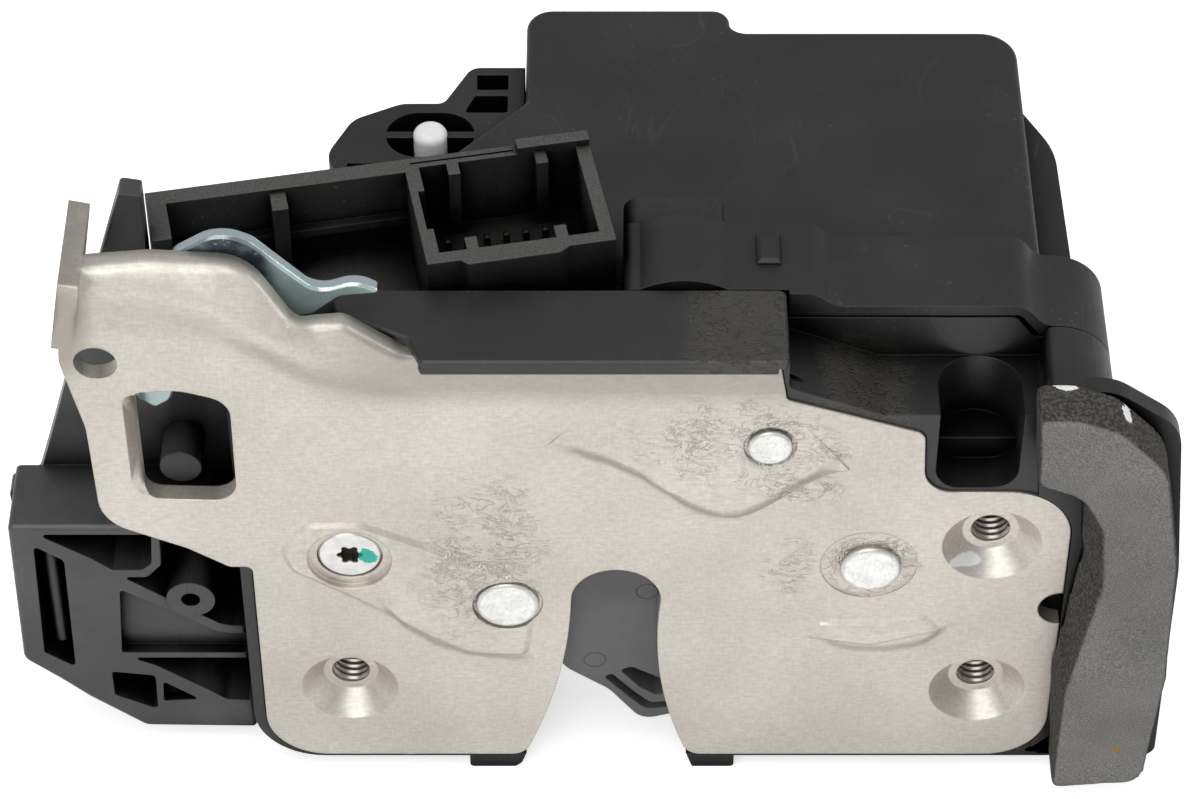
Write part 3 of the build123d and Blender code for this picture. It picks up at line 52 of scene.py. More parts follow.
# a socket that does sums: each operator adds its own Math node
class Wire:
    def __init__(self, tree, socket=None):
        self.tree, self.socket = tree, socket

    def node(self, kind, settings, *inputs, out=0):  # settings first, then (socket, value or wire)
        made = self.tree.nodes.new(kind)
        for key, value in settings.items():
            if key == "stops":
                while len(made.color_ramp.elements) < len(value):
                    made.color_ramp.elements.new(0.5)
                for element, (at, colour) in zip(made.color_ramp.elements, value):
                    element.position, element.color = at, colour
            elif key == "curve":
                made.color_ramp.interpolation = value
            else:
                setattr(made, key, value)
        for name, value in inputs:
            if isinstance(value, Wire):
                self.tree.links.new(value.socket, made.inputs[name])
            else:
                made.inputs[name].default_value = value
        return Wire(self.tree, made.outputs[out])

    def sum(self, operation, first, second=0.0):
        return self.node("ShaderNodeMath", {"operation": operation}, (0, first), (1, second))

    def __add__(self, other): return self.sum("ADD", self, other)
    def __radd__(self, other): return self.sum("ADD", other, self)
    def __sub__(self, other): return self.sum("SUBTRACT", self, other)
    def __rsub__(self, other): return self.sum("SUBTRACT", other, self)
    def __mul__(self, other): return self.sum("MULTIPLY", self, other)
    def __rmul__(self, other): return self.sum("MULTIPLY", other, self)
    def __truediv__(self, other): return self.sum("DIVIDE", self, other)

    def clamp(self):
        return self.node("ShaderNodeClamp", {}, ("Value", self))

    def noise(self, where, scale, detail=3.0, roughness=0.5, distortion=0.0):
        return self.node("ShaderNodeTexNoise", {}, ("Vector", where), ("Scale", scale), ("Detail", detail),
                         ("Roughness", roughness), ("Distortion", distortion))

    def ramp(self, value, low, high):  # 0 below low, 1 above high
        return self.node("ShaderNodeMapRange", {"interpolation_type": "SMOOTHSTEP"}, ("Value", value),
                         ("From Min", low), ("From Max", high))

    def blend(self, factor, first, second):  # colours
        return self.node("ShaderNodeMix", {"data_type": "RGBA"}, (0, factor), (6, first), (7, second), out=2)

    def scaled(self, where, x, y, z):  # stretch the pattern
        return self.node("ShaderNodeMapping", {}, ("Vector", where), ("Scale", (x, y, z)))

    def part(self, where, axis):  # one coordinate of a place
        return self.node("ShaderNodeSeparateXYZ", {}, ("Vector", where), out=axis)

    def creases(self, where, scale, width, distortion=0.0):  # 1 on thin wandering lines
        lines = self.noise(where, scale, 3.0, 0.55, distortion)
        return 1 - self.ramp((lines - 0.5).sum("ABSOLUTE", lines - 0.5), 0.0, width)

    # 1 inside an oval patch, drawn in x and z in mm and degrees, with a ragged rim
    def oval(self, where, centre, reach, turn=0.0, ragged=0.5, edge=0.35, size=420, depth=(0, 1e6)):
        local = self.node("ShaderNodeMapping", {"vector_type": "TEXTURE"}, ("Vector", where),
                          ("Location", (centre[0] * mm, depth[0] * mm, centre[1] * mm)),
                          ("Rotation", (0, math.radians(turn), 0)),
                          ("Scale", (reach[0] * mm, depth[1] * mm, reach[1] * mm)))
        away = self.node("ShaderNodeVectorMath", {"operation": "LENGTH"}, (0, local), out=1)
        wander = self.noise(where, size, 3.0, 0.6) - 0.5
        return 1 - self.ramp(away + wander * ragged, 1 - edge, 1)

    def union(self, masks):  # the strongest of several masks
        joined = masks[0]
        for mask in masks[1:]:
            joined = joined.sum("MAXIMUM", joined, mask)
        return joined

    def shelter(self, reach):  # 0 deep in a pocket, 1 in the open
        return self.node("ShaderNodeAmbientOcclusion", {"samples": 6}, ("Distance", reach * mm), out=1)

    def roundEdge(self, radius):  # the small radius that every moulded or stamped edge has
        return self.node("ShaderNodeBevel", {"samples": 8}, ("Radius", radius * mm))

    def bump(self, height, strength, distance, normal=None):
        extra = [("Normal", normal)] if normal else []
        return self.node("ShaderNodeBump", {}, ("Strength", strength), ("Distance", distance),
                         ("Height", height), *extra)


def newMaterial(name, **fixed):  # a Principled material and a wire in its tree
    material = bpy.data.materials.new(name)
    material.use_nodes = True
    shader = material.node_tree.nodes["Principled BSDF"]
    for key, value in fixed.items():
        shader.inputs[key.replace("_", " ")].default_value = value
    wire = Wire(material.node_tree)
    where = wire.node("ShaderNodeTexCoord", {}, out=3)
    return material, shader, wire, where


def plug(shader, socket, wire):
    wire.tree.links.new(wire.socket, shader.inputs[socket])


def opaque(colour):  # three numbers to four
    return tuple(colour) + (1,)


def scaledColour(colour, factor, lift=0.0):
    return opaque(min(1, c * factor + lift) for c in colour)


def dress(nodeName, material):
    for slot in nodes[nodeName].material_slots:
        slot.material = material


print("stage 1: camera, light and floor")
camera = {"at": (-2.06 * mm, -332.3 * mm, 378.8 * mm), "tilt": 44.2, "lens": 117.0, "sensor": 36.0,
          "clip": (0.01, 20)}
cameraData = bpy.data.cameras.new("camera")
cameraData.lens, cameraData.sensor_width = camera["lens"], camera["sensor"]
cameraData.clip_start, cameraData.clip_end = camera["clip"]
cameraObject = bpy.data.objects.new("camera", cameraData)
cameraObject.location = camera["at"]
cameraObject.rotation_euler = (math.radians(camera["tilt"]), 0, 0)
bpy.context.scene.collection.objects.link(cameraObject)
bpy.context.scene.camera = cameraObject

lamps = {  # place, aim, size, power
    "softboxTop": ((-0.15, -0.25, 1.1), (0, 0.02, 0.02), (1.0, 0.8), 6.0),
    "softboxFront": ((-0.35, -0.95, 0.75), (0, 0, 0), (0.9, 0.7), 5.5),
    "softboxRight": ((1.0, -0.1, 0.45), (0.02, 0.02, 0), (0.5, 0.7), 3.0),
    "softboxLeft": ((-1.0, 0.1, 0.4), (0, 0.02, 0), (0.5, 0.7), 0.8),
}
for name, (place, aim, size, power) in lamps.items():
    lampData = bpy.data.lights.new(name, "AREA")
    lampData.shape, lampData.size, lampData.size_y = "RECTANGLE", size[0], size[1]
    lampData.energy = power
    lamp = bpy.data.objects.new(name, lampData)
    lamp.location = place
    lamp.rotation_euler = (Vector(aim) - Vector(place)).to_track_quat("-Z", "Y").to_euler()
    bpy.context.scene.collection.objects.link(lamp)

studio = {"colour": (0.96, 0.97, 1.0, 1), "strength": 0.34, "seen": 1.0, "mirrored": 0.50}
world = bpy.data.worlds.new("studio")
bpy.context.scene.world = world
world.use_nodes = True
worldWire = Wire(world.node_tree)
background = world.node_tree.nodes["Background"]
rays = worldWire.node("ShaderNodeLightPath", {})
seen = Wire(world.node_tree, rays.socket.node.outputs["Is Camera Ray"])
mirrored = Wire(world.node_tree, rays.socket.node.outputs["Is Glossy Ray"])
plug(background, "Color", worldWire.blend(seen, studio["colour"], (1, 1, 1, 1)))
plug(background, "Strength", seen * (studio["seen"] - studio["strength"]) + studio["strength"]
     + mirrored * (studio["mirrored"] - studio["strength"]))
bpy.context.scene.view_settings.view_transform = "Standard"

floorSpec = {"size": 4.0, "gap": 0.2 * mm, "colour": (0.80, 0.80, 0.80, 1), "lift": 0.62,
             "mirrored": (0.12, 0.50), "reach": (-16 * mm, 75 * mm)}  # mirrored: near and far along reach; the low near value paints shade on the floor as seen in reflections close to the object
floorMesh = bpy.data.meshes.new("floor")
bm = bmesh.new()
bmesh.ops.create_grid(bm, x_segments=1, y_segments=1, size=floorSpec["size"] / 2)
bmesh.ops.translate(bm, verts=bm.verts, vec=(0, 0, cadBox[0][2] - floorSpec["gap"]))
bm.to_mesh(floorMesh)
bm.free()
floor = bpy.data.objects.new("floor", floorMesh)
bpy.context.scene.collection.objects.link(floor)
floorMaterial = bpy.data.materials.new("paleFloor")
floorMaterial.use_nodes = True
floorTree = floorMaterial.node_tree
floorTree.nodes.remove(floorTree.nodes["Principled BSDF"])
floorWire = Wire(floorTree)
floorRays = floorWire.node("ShaderNodeLightPath", {})
floorSeen = Wire(floorTree, floorRays.socket.node.outputs["Is Camera Ray"])
floorGloss = Wire(floorTree, floorRays.socket.node.outputs["Is Glossy Ray"])
diffuse = floorWire.node("ShaderNodeBsdfDiffuse", {}, ("Color", floorSpec["colour"]))
floorPlace = floorWire.node("ShaderNodeTexCoord", {}, out=3)
# painted shade: the floor's glow seen in reflections is dimmer near the object and brighter further ahead
ahead = floorWire.ramp(floorWire.part(floorPlace, 1) * -1, *floorSpec["reach"])
nearReflectedShade, bright = floorSpec["mirrored"]
lift = floorWire.node("ShaderNodeEmission", {}, ("Color", (1, 1, 1, 1)),
                      ("Strength", floorSeen * floorSpec["lift"] + floorGloss * (ahead * (bright - nearReflectedShade) + nearReflectedShade)))
both = floorWire.node("ShaderNodeAddShader", {}, (0, diffuse), (1, lift))
floorTree.links.new(both.socket, floorTree.nodes["Material Output"].inputs["Surface"])
floorMesh.materials.append(floorMaterial)


print("stage 2: plastics")


moulding = {
    "edge": 0.25, "grainDepth": 0.07 * mm, "wrinkleDepth": 3.0,
    # the second colour here is the pale tone of dust and of painted top light on upward faces
    "dust": (0.16, 0.155, 0.145), "dustAndTopLight": (0.120, 0.117, 0.110), "film": (0.055, 0.050, 0.040),
    "wrinkle": (0.006, 0.006, 0.005), "wellShade": (0.0012, 0.0012, 0.0011), "voidShade": (0.0010, 0.0010, 0.0009),
}


# smears are ovals of grease, wells the depth in mm in which pockets go dark as painted shade, and the last argument
# sets dust on tops together with painted light on the upward faces
def mouldedPlastic(name, colour, rough=0.46, grain=0.5, dust=0.35, specular=0.5, smears=(), wells=0, topDustAndLight=0):
    material, shader, wire, where = newMaterial(name, Specular_IOR_Level=specular)
    fine = wire.noise(where, 1900, 2.0, 0.65)  # spark-eroded grain
    cloud = wire.noise(where, 60, 4.0, 0.6)  # handling haze
    specks = wire.noise(where, 1500, 1.0)
    scratch = wire.creases(wire.scaled(where, 1.0, 0.35, 0.6), 75, 0.006, 0.6)
    dustMask = wire.ramp(specks, 0.70, 0.78) * wire.ramp(cloud, 0.42, 0.62) * dust
    haze = wire.ramp(cloud, 0.35, 0.75)
    toned = wire.blend(haze, scaledColour(colour, 0.85), scaledColour(colour, 1.35, 0.003))
    height = fine * 0.7
    if smears:  # films of grease, wiped with a finger
        film = wire.union([wire.oval(where, *smear) for smear in smears])
        wrinkle = wire.creases(wire.scaled(where, 1.0, 1.6, 1.6), 300, 0.05, 1.6)
        toned = wire.blend(film * 0.5, toned, opaque(moulding["film"]))
        toned = wire.blend(film * wrinkle * 0.7, toned, opaque(moulding["wrinkle"]))
        height = height - film * wrinkle * moulding["wrinkleDepth"]
    if topDustAndLight:  # fine dust on the upward faces, and painted light: the upward faces made paler as if lit from above
        upward = wire.part(wire.node("ShaderNodeTexCoord", {}, out=1), 2)
        dustAndTopLight = wire.noise(where, 4600, 2.0, 0.7)
        toned = wire.blend(wire.ramp(upward, 0.6, 0.95) * wire.ramp(dustAndTopLight, 0.15, 0.75) * topDustAndLight, toned,
                           opaque(moulding["dustAndTopLight"]))
    if wells:  # painted shade: deep pockets darkened by an occlusion mask and mixed towards a black diffuse void
        opened = wire.ramp(wire.shelter(wells), 0.36, 0.92)
        toned = wire.blend(opened, opaque(moulding["wellShade"]), toned)
        dustMask = dustMask * opened
        voidShade = wire.node("ShaderNodeBsdfDiffuse", {}, ("Color", opaque(moulding["voidShade"])))
        surface = wire.node("ShaderNodeMixShader", {}, (0, opened * 0.85 + 0.15), (1, voidShade),
                            (2, Wire(wire.tree, shader.outputs[0])))
        wire.tree.links.new(surface.socket, wire.tree.nodes["Material Output"].inputs["Surface"])
    worn = (dustMask + scratch * haze * 0.12).clamp()
    plug(shader, "Base Color", wire.blend(worn, toned, opaque(moulding["dust"])))
    plug(shader, "Roughness", haze * 0.1 + fine * 0.08 + (rough - 0.08) - scratch * 0.06)
    plug(shader, "Normal", wire.bump(height, grain, moulding["grainDepth"], wire.roundEdge(moulding["edge"])))
    return material


blackCase = mouldedPlastic("casePlastic", (0.0125, 0.0125, 0.0115), rough=0.5, grain=0.6, wells=7)
blackHousing = mouldedPlastic("housingPlastic", (0.014, 0.014, 0.0135), rough=0.40, grain=0.4, wells=8,
                              smears=[((29, 32.5), (9, 6), 0)])
blackShield = mouldedPlastic("shieldPlastic", (0.018, 0.018, 0.0172), rough=0.42,
                             smears=[((16, 44), (9, 5), 0)])
blackConnector = mouldedPlastic("connectorPlastic", (0.016, 0.016, 0.015), rough=0.5, grain=0.9, specular=0.35,
                                wells=9, dust=0.4, topDustAndLight=0.8)
blackFlank = mouldedPlastic("flankPlastic", (0.052, 0.052, 0.053), rough=0.34, grain=0.15, wells=7)
greyFork = mouldedPlastic("forkPlastic", (0.080, 0.080, 0.082), rough=0.42, grain=0.3)
whitePin = mouldedPlastic("pinPlastic", (0.96, 0.96, 0.94), rough=0.3, grain=0.1, dust=0)
acetal = mouldedPlastic("gearPlastic", (0.62, 0.61, 0.56), rough=0.35, dust=0)


print("stage 3: metals")


def platedSteel(name, colour, rough=0.3, brush=0.05):  # brushed along x, slightly clouded
    material, shader, wire, where = newMaterial(name, Metallic=1.0)
    lines = wire.noise(wire.scaled(where, 60, 1800, 1800), 1.0, 3.0, 0.6)
    cloud = wire.noise(where, 90, 4.0, 0.6)
    tone = wire.blend(wire.ramp(cloud, 0.35, 0.65), scaledColour(colour, 0.875), scaledColour(colour, 1.08))
    plug(shader, "Base Color", tone)
    plug(shader, "Roughness", cloud * 0.12 + lines * 0.08 + (rough - 0.1))
    plug(shader, "Normal", wire.bump(lines, brush, 0.04 * mm, wire.roundEdge(0.2)))
    return material


plateLook = {
    "light": (0.675, 0.628, 0.562), "dark": (0.565, 0.522, 0.460), "stain": (0.33, 0.305, 0.265),
    "chalk": (0.93, 0.93, 0.91), "scuff": (0.97, 0.97, 0.96), "film": (0.52, 0.49, 0.42), "rough": 0.44,
    "edge": 0.3, "grainDepth": 0.06 * mm,
    "shieldShade": {"foot": (34.8, 39.0), "head": (46, 50), "left": (-42, -28), "depth": 0.62},  # painted shade under the shield: the plate darkened below the shield's foot
    # patches: centre, reach, turn, raggedness; the last number of a soft one is its edge's radius
    "grease": [((15.5, 29.5), (15.5, 9.0), 0, 0.9), ((22.5, 22.0), (7.5, 4.0), 20, 0.8),
               ((-17.2, 8.0), (9.6, 17.5), 8, 0.9), ((21.8, 6.8), (4.2, 7.2), 0, 0.8),
               ((33.0, 6.2), (7.6, 7.0), 0, 0.5)],
    "soft": [((-52.0, 51.5), (20, 7.5), 0, 1.9), ((-33.0, 43.5), (11, 6.5), 32, 1.9),
             ((-1.0, 28.5), (17, 4.2), 14, 1.7), ((17.0, 22.5), (13, 4.6), -22, 1.7),
             ((27.5, 30.0), (4, 4.5), 0, 1.9), ((-9.0, 29.0), (4, 4), 0, 1.9),
             ((-27.0, -5.5), (15, 4.5), 27, 1.2), ((40.0, -4.5), (9, 3.0), -6, 1.0)],
    # folds: bumped relief, and painted shade, of strength dark, in the valley below each line
    "folds": [
        {"from": -8.3, "to": 29.0, "heights": [28.9, 27.6, 25.6, 22.6, 18.9, 16.5, 17.2, 20.6, 23.9, 26.0],
         "width": 2.4, "fade": 9, "drop": 0.55, "dark": 0.34},
        {"from": -31.5, "to": -10.0, "heights": [1.0, -4.0, -7.6, -9.6, -10.6, -11.2, -11.4],
         "width": 2.0, "fade": 8, "drop": 0.40, "dark": 0.28},
        {"from": 26.0, "to": 44.0, "heights": [-7.6, -9.1, -9.6, -9.3, -8.0, -4.9],
         "width": 1.8, "fade": 4, "drop": 0.40, "dark": 0.16},
        {"from": -68.0, "to": -22.0, "heights": [48.0, 51.6, 51.3, 50.2, 48.4, 44.8, 41.6, 40.4, 39.6, 39.2],
         "width": 5.0, "fade": 8, "drop": 0.80, "dark": 0.36}],
    # painted shade: the wing's left end near the ear darkened
    "wingShade": [((-67.0, 49.0), (5.0, 12.0), 8, 0.3)],
    "marks": [((44.7, 6.35), (2.5, 0.8), 18, 0.6), ((-27.6, -31.7), (1.3, 0.5), 0, 0.6)],
}


def pressedFold(wire, where, fold):  # proud above a line drawn in x and z, dying away behind it
    low, high = min(fold["heights"]), max(fold["heights"])
    last = len(fold["heights"]) - 1
    stops = [(i / last, ((h - low) / (high - low),) * 3 + (1,)) for i, h in enumerate(fold["heights"])]
    along = (wire.part(where, 0) - fold["from"] * mm) / ((fold["to"] - fold["from"]) * mm)
    line = wire.node("ShaderNodeValToRGB", {"stops": stops, "curve": "CARDINAL"}, ("Fac", along.clamp()))
    away = wire.part(where, 2) - low * mm - line * ((high - low) * mm)
    width = fold["width"] * mm
    ends = wire.ramp(along, 0.0, 0.14) * (1 - wire.ramp(along, 0.86, 1.0))
    rise = wire.ramp(away, -width / 2, width / 2) * (1 - wire.ramp(away, width / 2, fold["fade"] * mm))
    # the valley mask carries the painted shade of the fold's valley
    valleyShade = wire.ramp(away, -width * 0.7, -width * 0.1) * (1 - wire.ramp(away, -width * 0.1, width * 0.5))
    return rise * ends, valleyShade * ends


def stampedPlate(look):  # zinc-plated sheet: short fine marks along it, specks, and old grease
    material, shader, wire, where = newMaterial("plateSteel", Metallic=0.85)
    grain = wire.noise(wire.scaled(where, 700, 2400, 2400), 1.0, 2.0, 0.7)
    weave = wire.noise(wire.scaled(where, 2600, 900, 900), 1.0, 1.0, 0.5)
    cloud = wire.noise(where, 45, 4.0, 0.55)
    specks = wire.ramp(wire.noise(where, 2100, 1.0), 0.74, 0.80)
    colour = wire.blend(wire.ramp(cloud, 0.30, 0.72), opaque(look["dark"]), opaque(look["light"]))
    colour = wire.blend(wire.ramp(grain, 0.30, 0.72) * 0.30, colour, opaque(look["stain"]))
    colour = wire.blend(wire.ramp(weave, 0.42, 0.68) * 0.09, colour, opaque(look["chalk"]))
    colour = wire.blend(specks * 0.5, colour, opaque(look["chalk"]))
    # painted shade: the plate darkened in a band under the shield, where the shield shades it
    shieldShadeSpec = {key: [v * mm for v in span] for key, span in look["shieldShade"].items() if key != "depth"}
    high, across = wire.part(where, 2), wire.part(where, 0)
    shieldShade = wire.ramp(high, *shieldShadeSpec["foot"]) * (1 - wire.ramp(high, *shieldShadeSpec["head"]))
    shieldShade = shieldShade * wire.ramp(across, *shieldShadeSpec["left"])
    colour = wire.blend(shieldShade * look["shieldShade"]["depth"], colour, opaque(look["stain"]))
    film = wire.union([wire.oval(where, *patch, 0.5) for patch in look["grease"]])
    film = film * wire.ramp(wire.noise(where, 130, 3.0, 0.6), 0.36, 0.56)
    wrinkle = wire.creases(wire.scaled(where, 0.8, 1.0, 1.5), 300, 0.055, 2.0)
    ripple = wire.creases(wire.scaled(where, 1.6, 1.0, 0.7), 560, 0.10, 1.0)
    colour = wire.blend(film * 0.12, colour, opaque(look["film"]))
    colour = wire.blend(film * (wrinkle * 0.26 + ripple * 0.05).clamp(), colour, opaque(look["stain"]))
    radius = look["edge"]
    for centre, reach, turn, soft in look["soft"]:
        radius = wire.oval(where, centre, reach, turn, 0.1, 0.3) * (soft - look["edge"]) + radius
    shape = wire.roundEdge(radius)
    for fold in look["folds"]:
        rise, valleyShade = pressedFold(wire, where, fold)
        # painted shade in the fold's valley
        colour = wire.blend(valleyShade * fold["dark"], colour, opaque(look["stain"]))
        shape = wire.bump(rise, 1.0, fold["drop"] * mm, shape)
    # painted shade: the wing's left end near the ear made darker
    wingShade = wire.union([wire.oval(where, *patch, 0.6) for patch in look["wingShade"]])
    colour = wire.blend(wingShade * 0.85, colour, opaque(look["stain"]))
    mark = wire.union([wire.oval(where, *patch, 0.25, 900) for patch in look["marks"]])
    colour = wire.blend(mark, colour, opaque(look["scuff"]))
    plug(shader, "Base Color", colour)
    plug(shader, "Roughness", grain * 0.14 + cloud * 0.08 + (look["rough"] - 0.11) - film * 0.10)
    relief = grain * 0.35 + weave * 0.12 - film * (wrinkle * 6.0 + ripple * 2.2) + film * 0.6
    plug(shader, "Normal", wire.bump(relief, 0.55, look["grainDepth"], shape))
    return material


rivetLook = {"face": (0.92, 0.92, 0.90), "rim": (0.60, 0.59, 0.56), "crack": (0.40, 0.40, 0.38)}


def peenedRivet(name, centre, radius, colour=rivetLook["face"]):  # bright face, dull worked rim
    material, shader, wire, where = newMaterial(name, Metallic=0.9)
    face = wire.oval(where, centre, (radius * 0.93, radius * 0.93), 0, 0.16, 0.12, 700)
    cracks = wire.creases(where, 650, 0.022, 1.2)
    fine = wire.noise(where, 1600, 3.0, 0.65)
    cloud = wire.noise(where, 420, 3.0, 0.6)
    bright = wire.blend(wire.ramp(cloud, 0.35, 0.7), scaledColour(colour, 0.86), opaque(colour))
    toned = wire.blend(face, opaque(rivetLook["rim"]), bright)
    plug(shader, "Base Color", wire.blend(cracks * 0.35, toned, opaque(rivetLook["crack"])))
    plug(shader, "Roughness", fine * 0.2 + 0.3 - face * 0.1)
    relief = fine * 0.6 + cloud * 1.2 - cracks * 0.8
    plug(shader, "Normal", wire.bump(relief, 0.5, 0.07 * mm, wire.roundEdge(0.25)))
    return material


screwLook = {"centre": (-34.0, 8.2), "front": 0.4, "recess": 2.1, "paint": ((-31.75, 8.1), (1.35, 1.6)),
             "dark": (0.66, 0.65, 0.63), "light": (0.80, 0.79, 0.77), "rust": (0.055, 0.038, 0.022),
             "green": (0.015, 0.46, 0.36)}


def capScrew(look):  # pale passivated head, rust in the six-lobe recess, a dab of paint
    material, shader, wire, where = newMaterial("screwSteel")
    depth = wire.part(where, 1)
    near = wire.oval(where, look["centre"], (look["recess"], look["recess"]), 0, 0.15, 0.1)
    hollow = wire.ramp(depth, (look["front"] + 0.12) * mm, (look["front"] + 0.35) * mm) * near
    dab = wire.oval(where, *look["paint"], 0, 1.3, 0.15, 800)
    cloud = wire.noise(where, 500, 3.0, 0.6)
    colour = wire.blend(wire.ramp(cloud, 0.35, 0.7), opaque(look["dark"]), opaque(look["light"]))
    colour = wire.blend(hollow, colour, opaque(look["rust"]))
    plug(shader, "Base Color", wire.blend(dab, colour, opaque(look["green"])))
    plug(shader, "Metallic", 0.9 - hollow * 0.6 - dab * 0.9)
    plug(shader, "Roughness", cloud * 0.15 + 0.24 + hollow * 0.3)
    plug(shader, "Normal", wire.bump(cloud, 0.3, 0.05 * mm, wire.roundEdge(0.2)))
    return material


# the rim colour is the bare sheared rim and also painted highlight on upward faces and bends; the darkest colour is
# a painted dark reflection across the face's middle
leverLook = {"rim": (0.62, 0.72, 0.74), "pale": (0.40, 0.53, 0.50), "darkReflection": (0.034, 0.050, 0.068),
             "from": -51.5, "to": -43.0, "leanAbout": 47, "lean": 0.55, "fade": (2.0, 2.5)}


def blueLever(look):  # blue passivation; painted dark reflection on the face's middle; pale on its bends and sheared rim, bare steel on the rim and painted highlight on the bends and upward faces
    material, shader, wire, where = newMaterial("leverSteel", Metallic=1.0)
    across, high = wire.part(where, 0), wire.part(where, 2)
    facing = wire.part(wire.node("ShaderNodeTexCoord", {}, out=1), 1)
    # 1 where the surface faces forward; elsewhere the rim colour goes on as painted highlight
    face = wire.ramp(facing * -1, 0.55, 0.8)
    leaning = across + (high - look["leanAbout"] * mm) * look["lean"]
    # painted dark reflection across the face's middle, between from and to, its left side leaning with height
    darkReflection = wire.ramp(leaning, look["from"] * mm, (look["from"] + look["fade"][0]) * mm)
    darkReflection = darkReflection * (1 - wire.ramp(across, look["to"] * mm, (look["to"] + look["fade"][1]) * mm))
    cloud = wire.noise(where, 260, 4.0, 0.6)
    specks = wire.ramp(wire.noise(where, 1700, 2.0), 0.64, 0.72)
    tone = wire.blend(darkReflection, opaque(look["pale"]), opaque(look["darkReflection"]))
    hazed = (wire.ramp(cloud, 0.35, 0.75) * 0.25 + specks * 0.25).clamp()
    tone = wire.blend(hazed, tone, opaque(look["rim"]))
    plug(shader, "Base Color", wire.blend(face, opaque(look["rim"]), tone))
    plug(shader, "Metallic", 1 - face * 0.55)
    plug(shader, "Roughness", cloud * 0.14 + 0.13)
    plug(shader, "Normal", wire.bump(cloud, 0.15, 0.08 * mm, wire.roundEdge(0.3)))
    return material


plateSteel = stampedPlate(plateLook)
forkRivetSteel = peenedRivet("forkRivetSteel", (-14.0, -0.6), 4.05)
pawlRivetSteel = peenedRivet("pawlRivetSteel", (32.5, 6.3), 3.9)
studRivetSteel = peenedRivet("studRivetSteel", (19.0, 28.8), 2.8, (0.84, 0.84, 0.81))
screwSteel = capScrew(screwLook)
rivetSteel = platedSteel("rivetSteel", (0.80, 0.80, 0.78), rough=0.3)
zincSteel = platedSteel("zincSteel", (0.52, 0.52, 0.51), rough=0.36, brush=0.2)
leverSteel = blueLever(leverLook)
darkSteel = platedSteel("forkSteel", (0.30, 0.30, 0.31), rough=0.35, brush=0.2)
springSteel = platedSteel("springSteel", (0.26, 0.26, 0.27), rough=0.3)
tinPlate = platedSteel("terminalMetal", (0.030, 0.028, 0.024), rough=0.5)
brassTurned = platedSteel("gearBrass", (0.74, 0.56, 0.28), rough=0.25)
motorCan = platedSteel("motorSteel", (0.50, 0.50, 0.51), rough=0.3)
threadSteel = platedSteel("threadSteel", (0.34, 0.32, 0.29), rough=0.3)

finishes = {
    "latch_plate": plateSteel, "latch_housing": blackHousing, "back_plate": zincSteel,
    "fork_rivet": forkRivetSteel, "pawl_rivet": pawlRivetSteel, "stud_rivet": studRivetSteel,
    "plate_screw": screwSteel, "forkbolt_core": darkSteel, "forkbolt_cover": greyFork, "pawl": darkSteel,
    "fork_spring": springSteel, "pawl_spring": springSteel, "edge_shield": blackShield,
    "release_lever": leverSteel, "release_pin": rivetSteel, "connector_housing": blackConnector,
    "terminals": tinPlate, "actuator_housing": blackCase, "actuator_cover": blackCase,
    "case_screws": screwSteel, "guide_pin": whitePin, "motor": motorCan, "motor_pinion": brassTurned,
    "lock_gear": acetal, "lock_lever": acetal, "gear_pin": rivetSteel, "flank_housing": blackFlank,
}
for nodeName, material in finishes.items():
    dress(nodeName, material)


print("stage 4: foam seal and threads")


def newPiece(name, bm, material):
    mesh = bpy.data.meshes.new(name)
    bm.to_mesh(mesh)
    bm.free()
    mesh.materials.append(material)
    piece = bpy.data.objects.new(name, mesh)
    bpy.context.scene.collection.objects.link(piece)
    return piece


def freeze(piece):  # the modifiers' result becomes the mesh
    result = bpy.data.meshes.new_from_object(piece.evaluated_get(bpy.context.evaluated_depsgraph_get()))
    piece.modifiers.clear()
    piece.data = result


foam = {
    "corners": [(51.5, 28.4, 1.5), (50.8, 40.6, 1.2), (56.1, 40.4, 5), (61.4, 38.2, 5), (67.8, 31.0, 8),
                (70.6, 14.0, 10), (71.4, -8.0, 10), (70.2, -29.6, 3), (58.0, -30.6, 1), (57.9, -11.7, 4),
                (61.2, 10.0, 6), (60.4, 20.0, 4), (57.4, 26.0, 4)],  # x, z and corner radius
    "front": -7.1, "back": -0.3, "edge": 1.1, "voxel": 0.6,
    "lean": 2.3, "leanLimit": (63.0, 27.0, -30.0, 8.0),  # right end, top, where it dies away, where it is full
    "wave": 0.30, "waveSize": 130, "cells": 0.10, "cellSize": 1500,
    "skin": ((0.184, 0.180, 0.173), (0.233, 0.227, 0.219)), "pores": (0.085, 0.083, 0.079),
    "walls": (0.34, 0.335, 0.32), "torn": ((0.012, 0.011, 0.009), (0.078, 0.071, 0.060)),
    "chip": (0.85, 0.85, 0.83), "rust": (0.34, 0.17, 0.05),
    "chips": [((54.6, 40.2), (1.5, 0.9), 0, 1.3, 0.15, 1300, (-0.9, 0.7)),
              ((62.4, 37.4), (0.9, 1.4), 0, 1.3, 0.15, 1300, (-2.2, 1.5))],
    "rustSpot": ((66.0, -22.1), (0.55, 0.65), 30, 0.9, 0.2, 900),
}


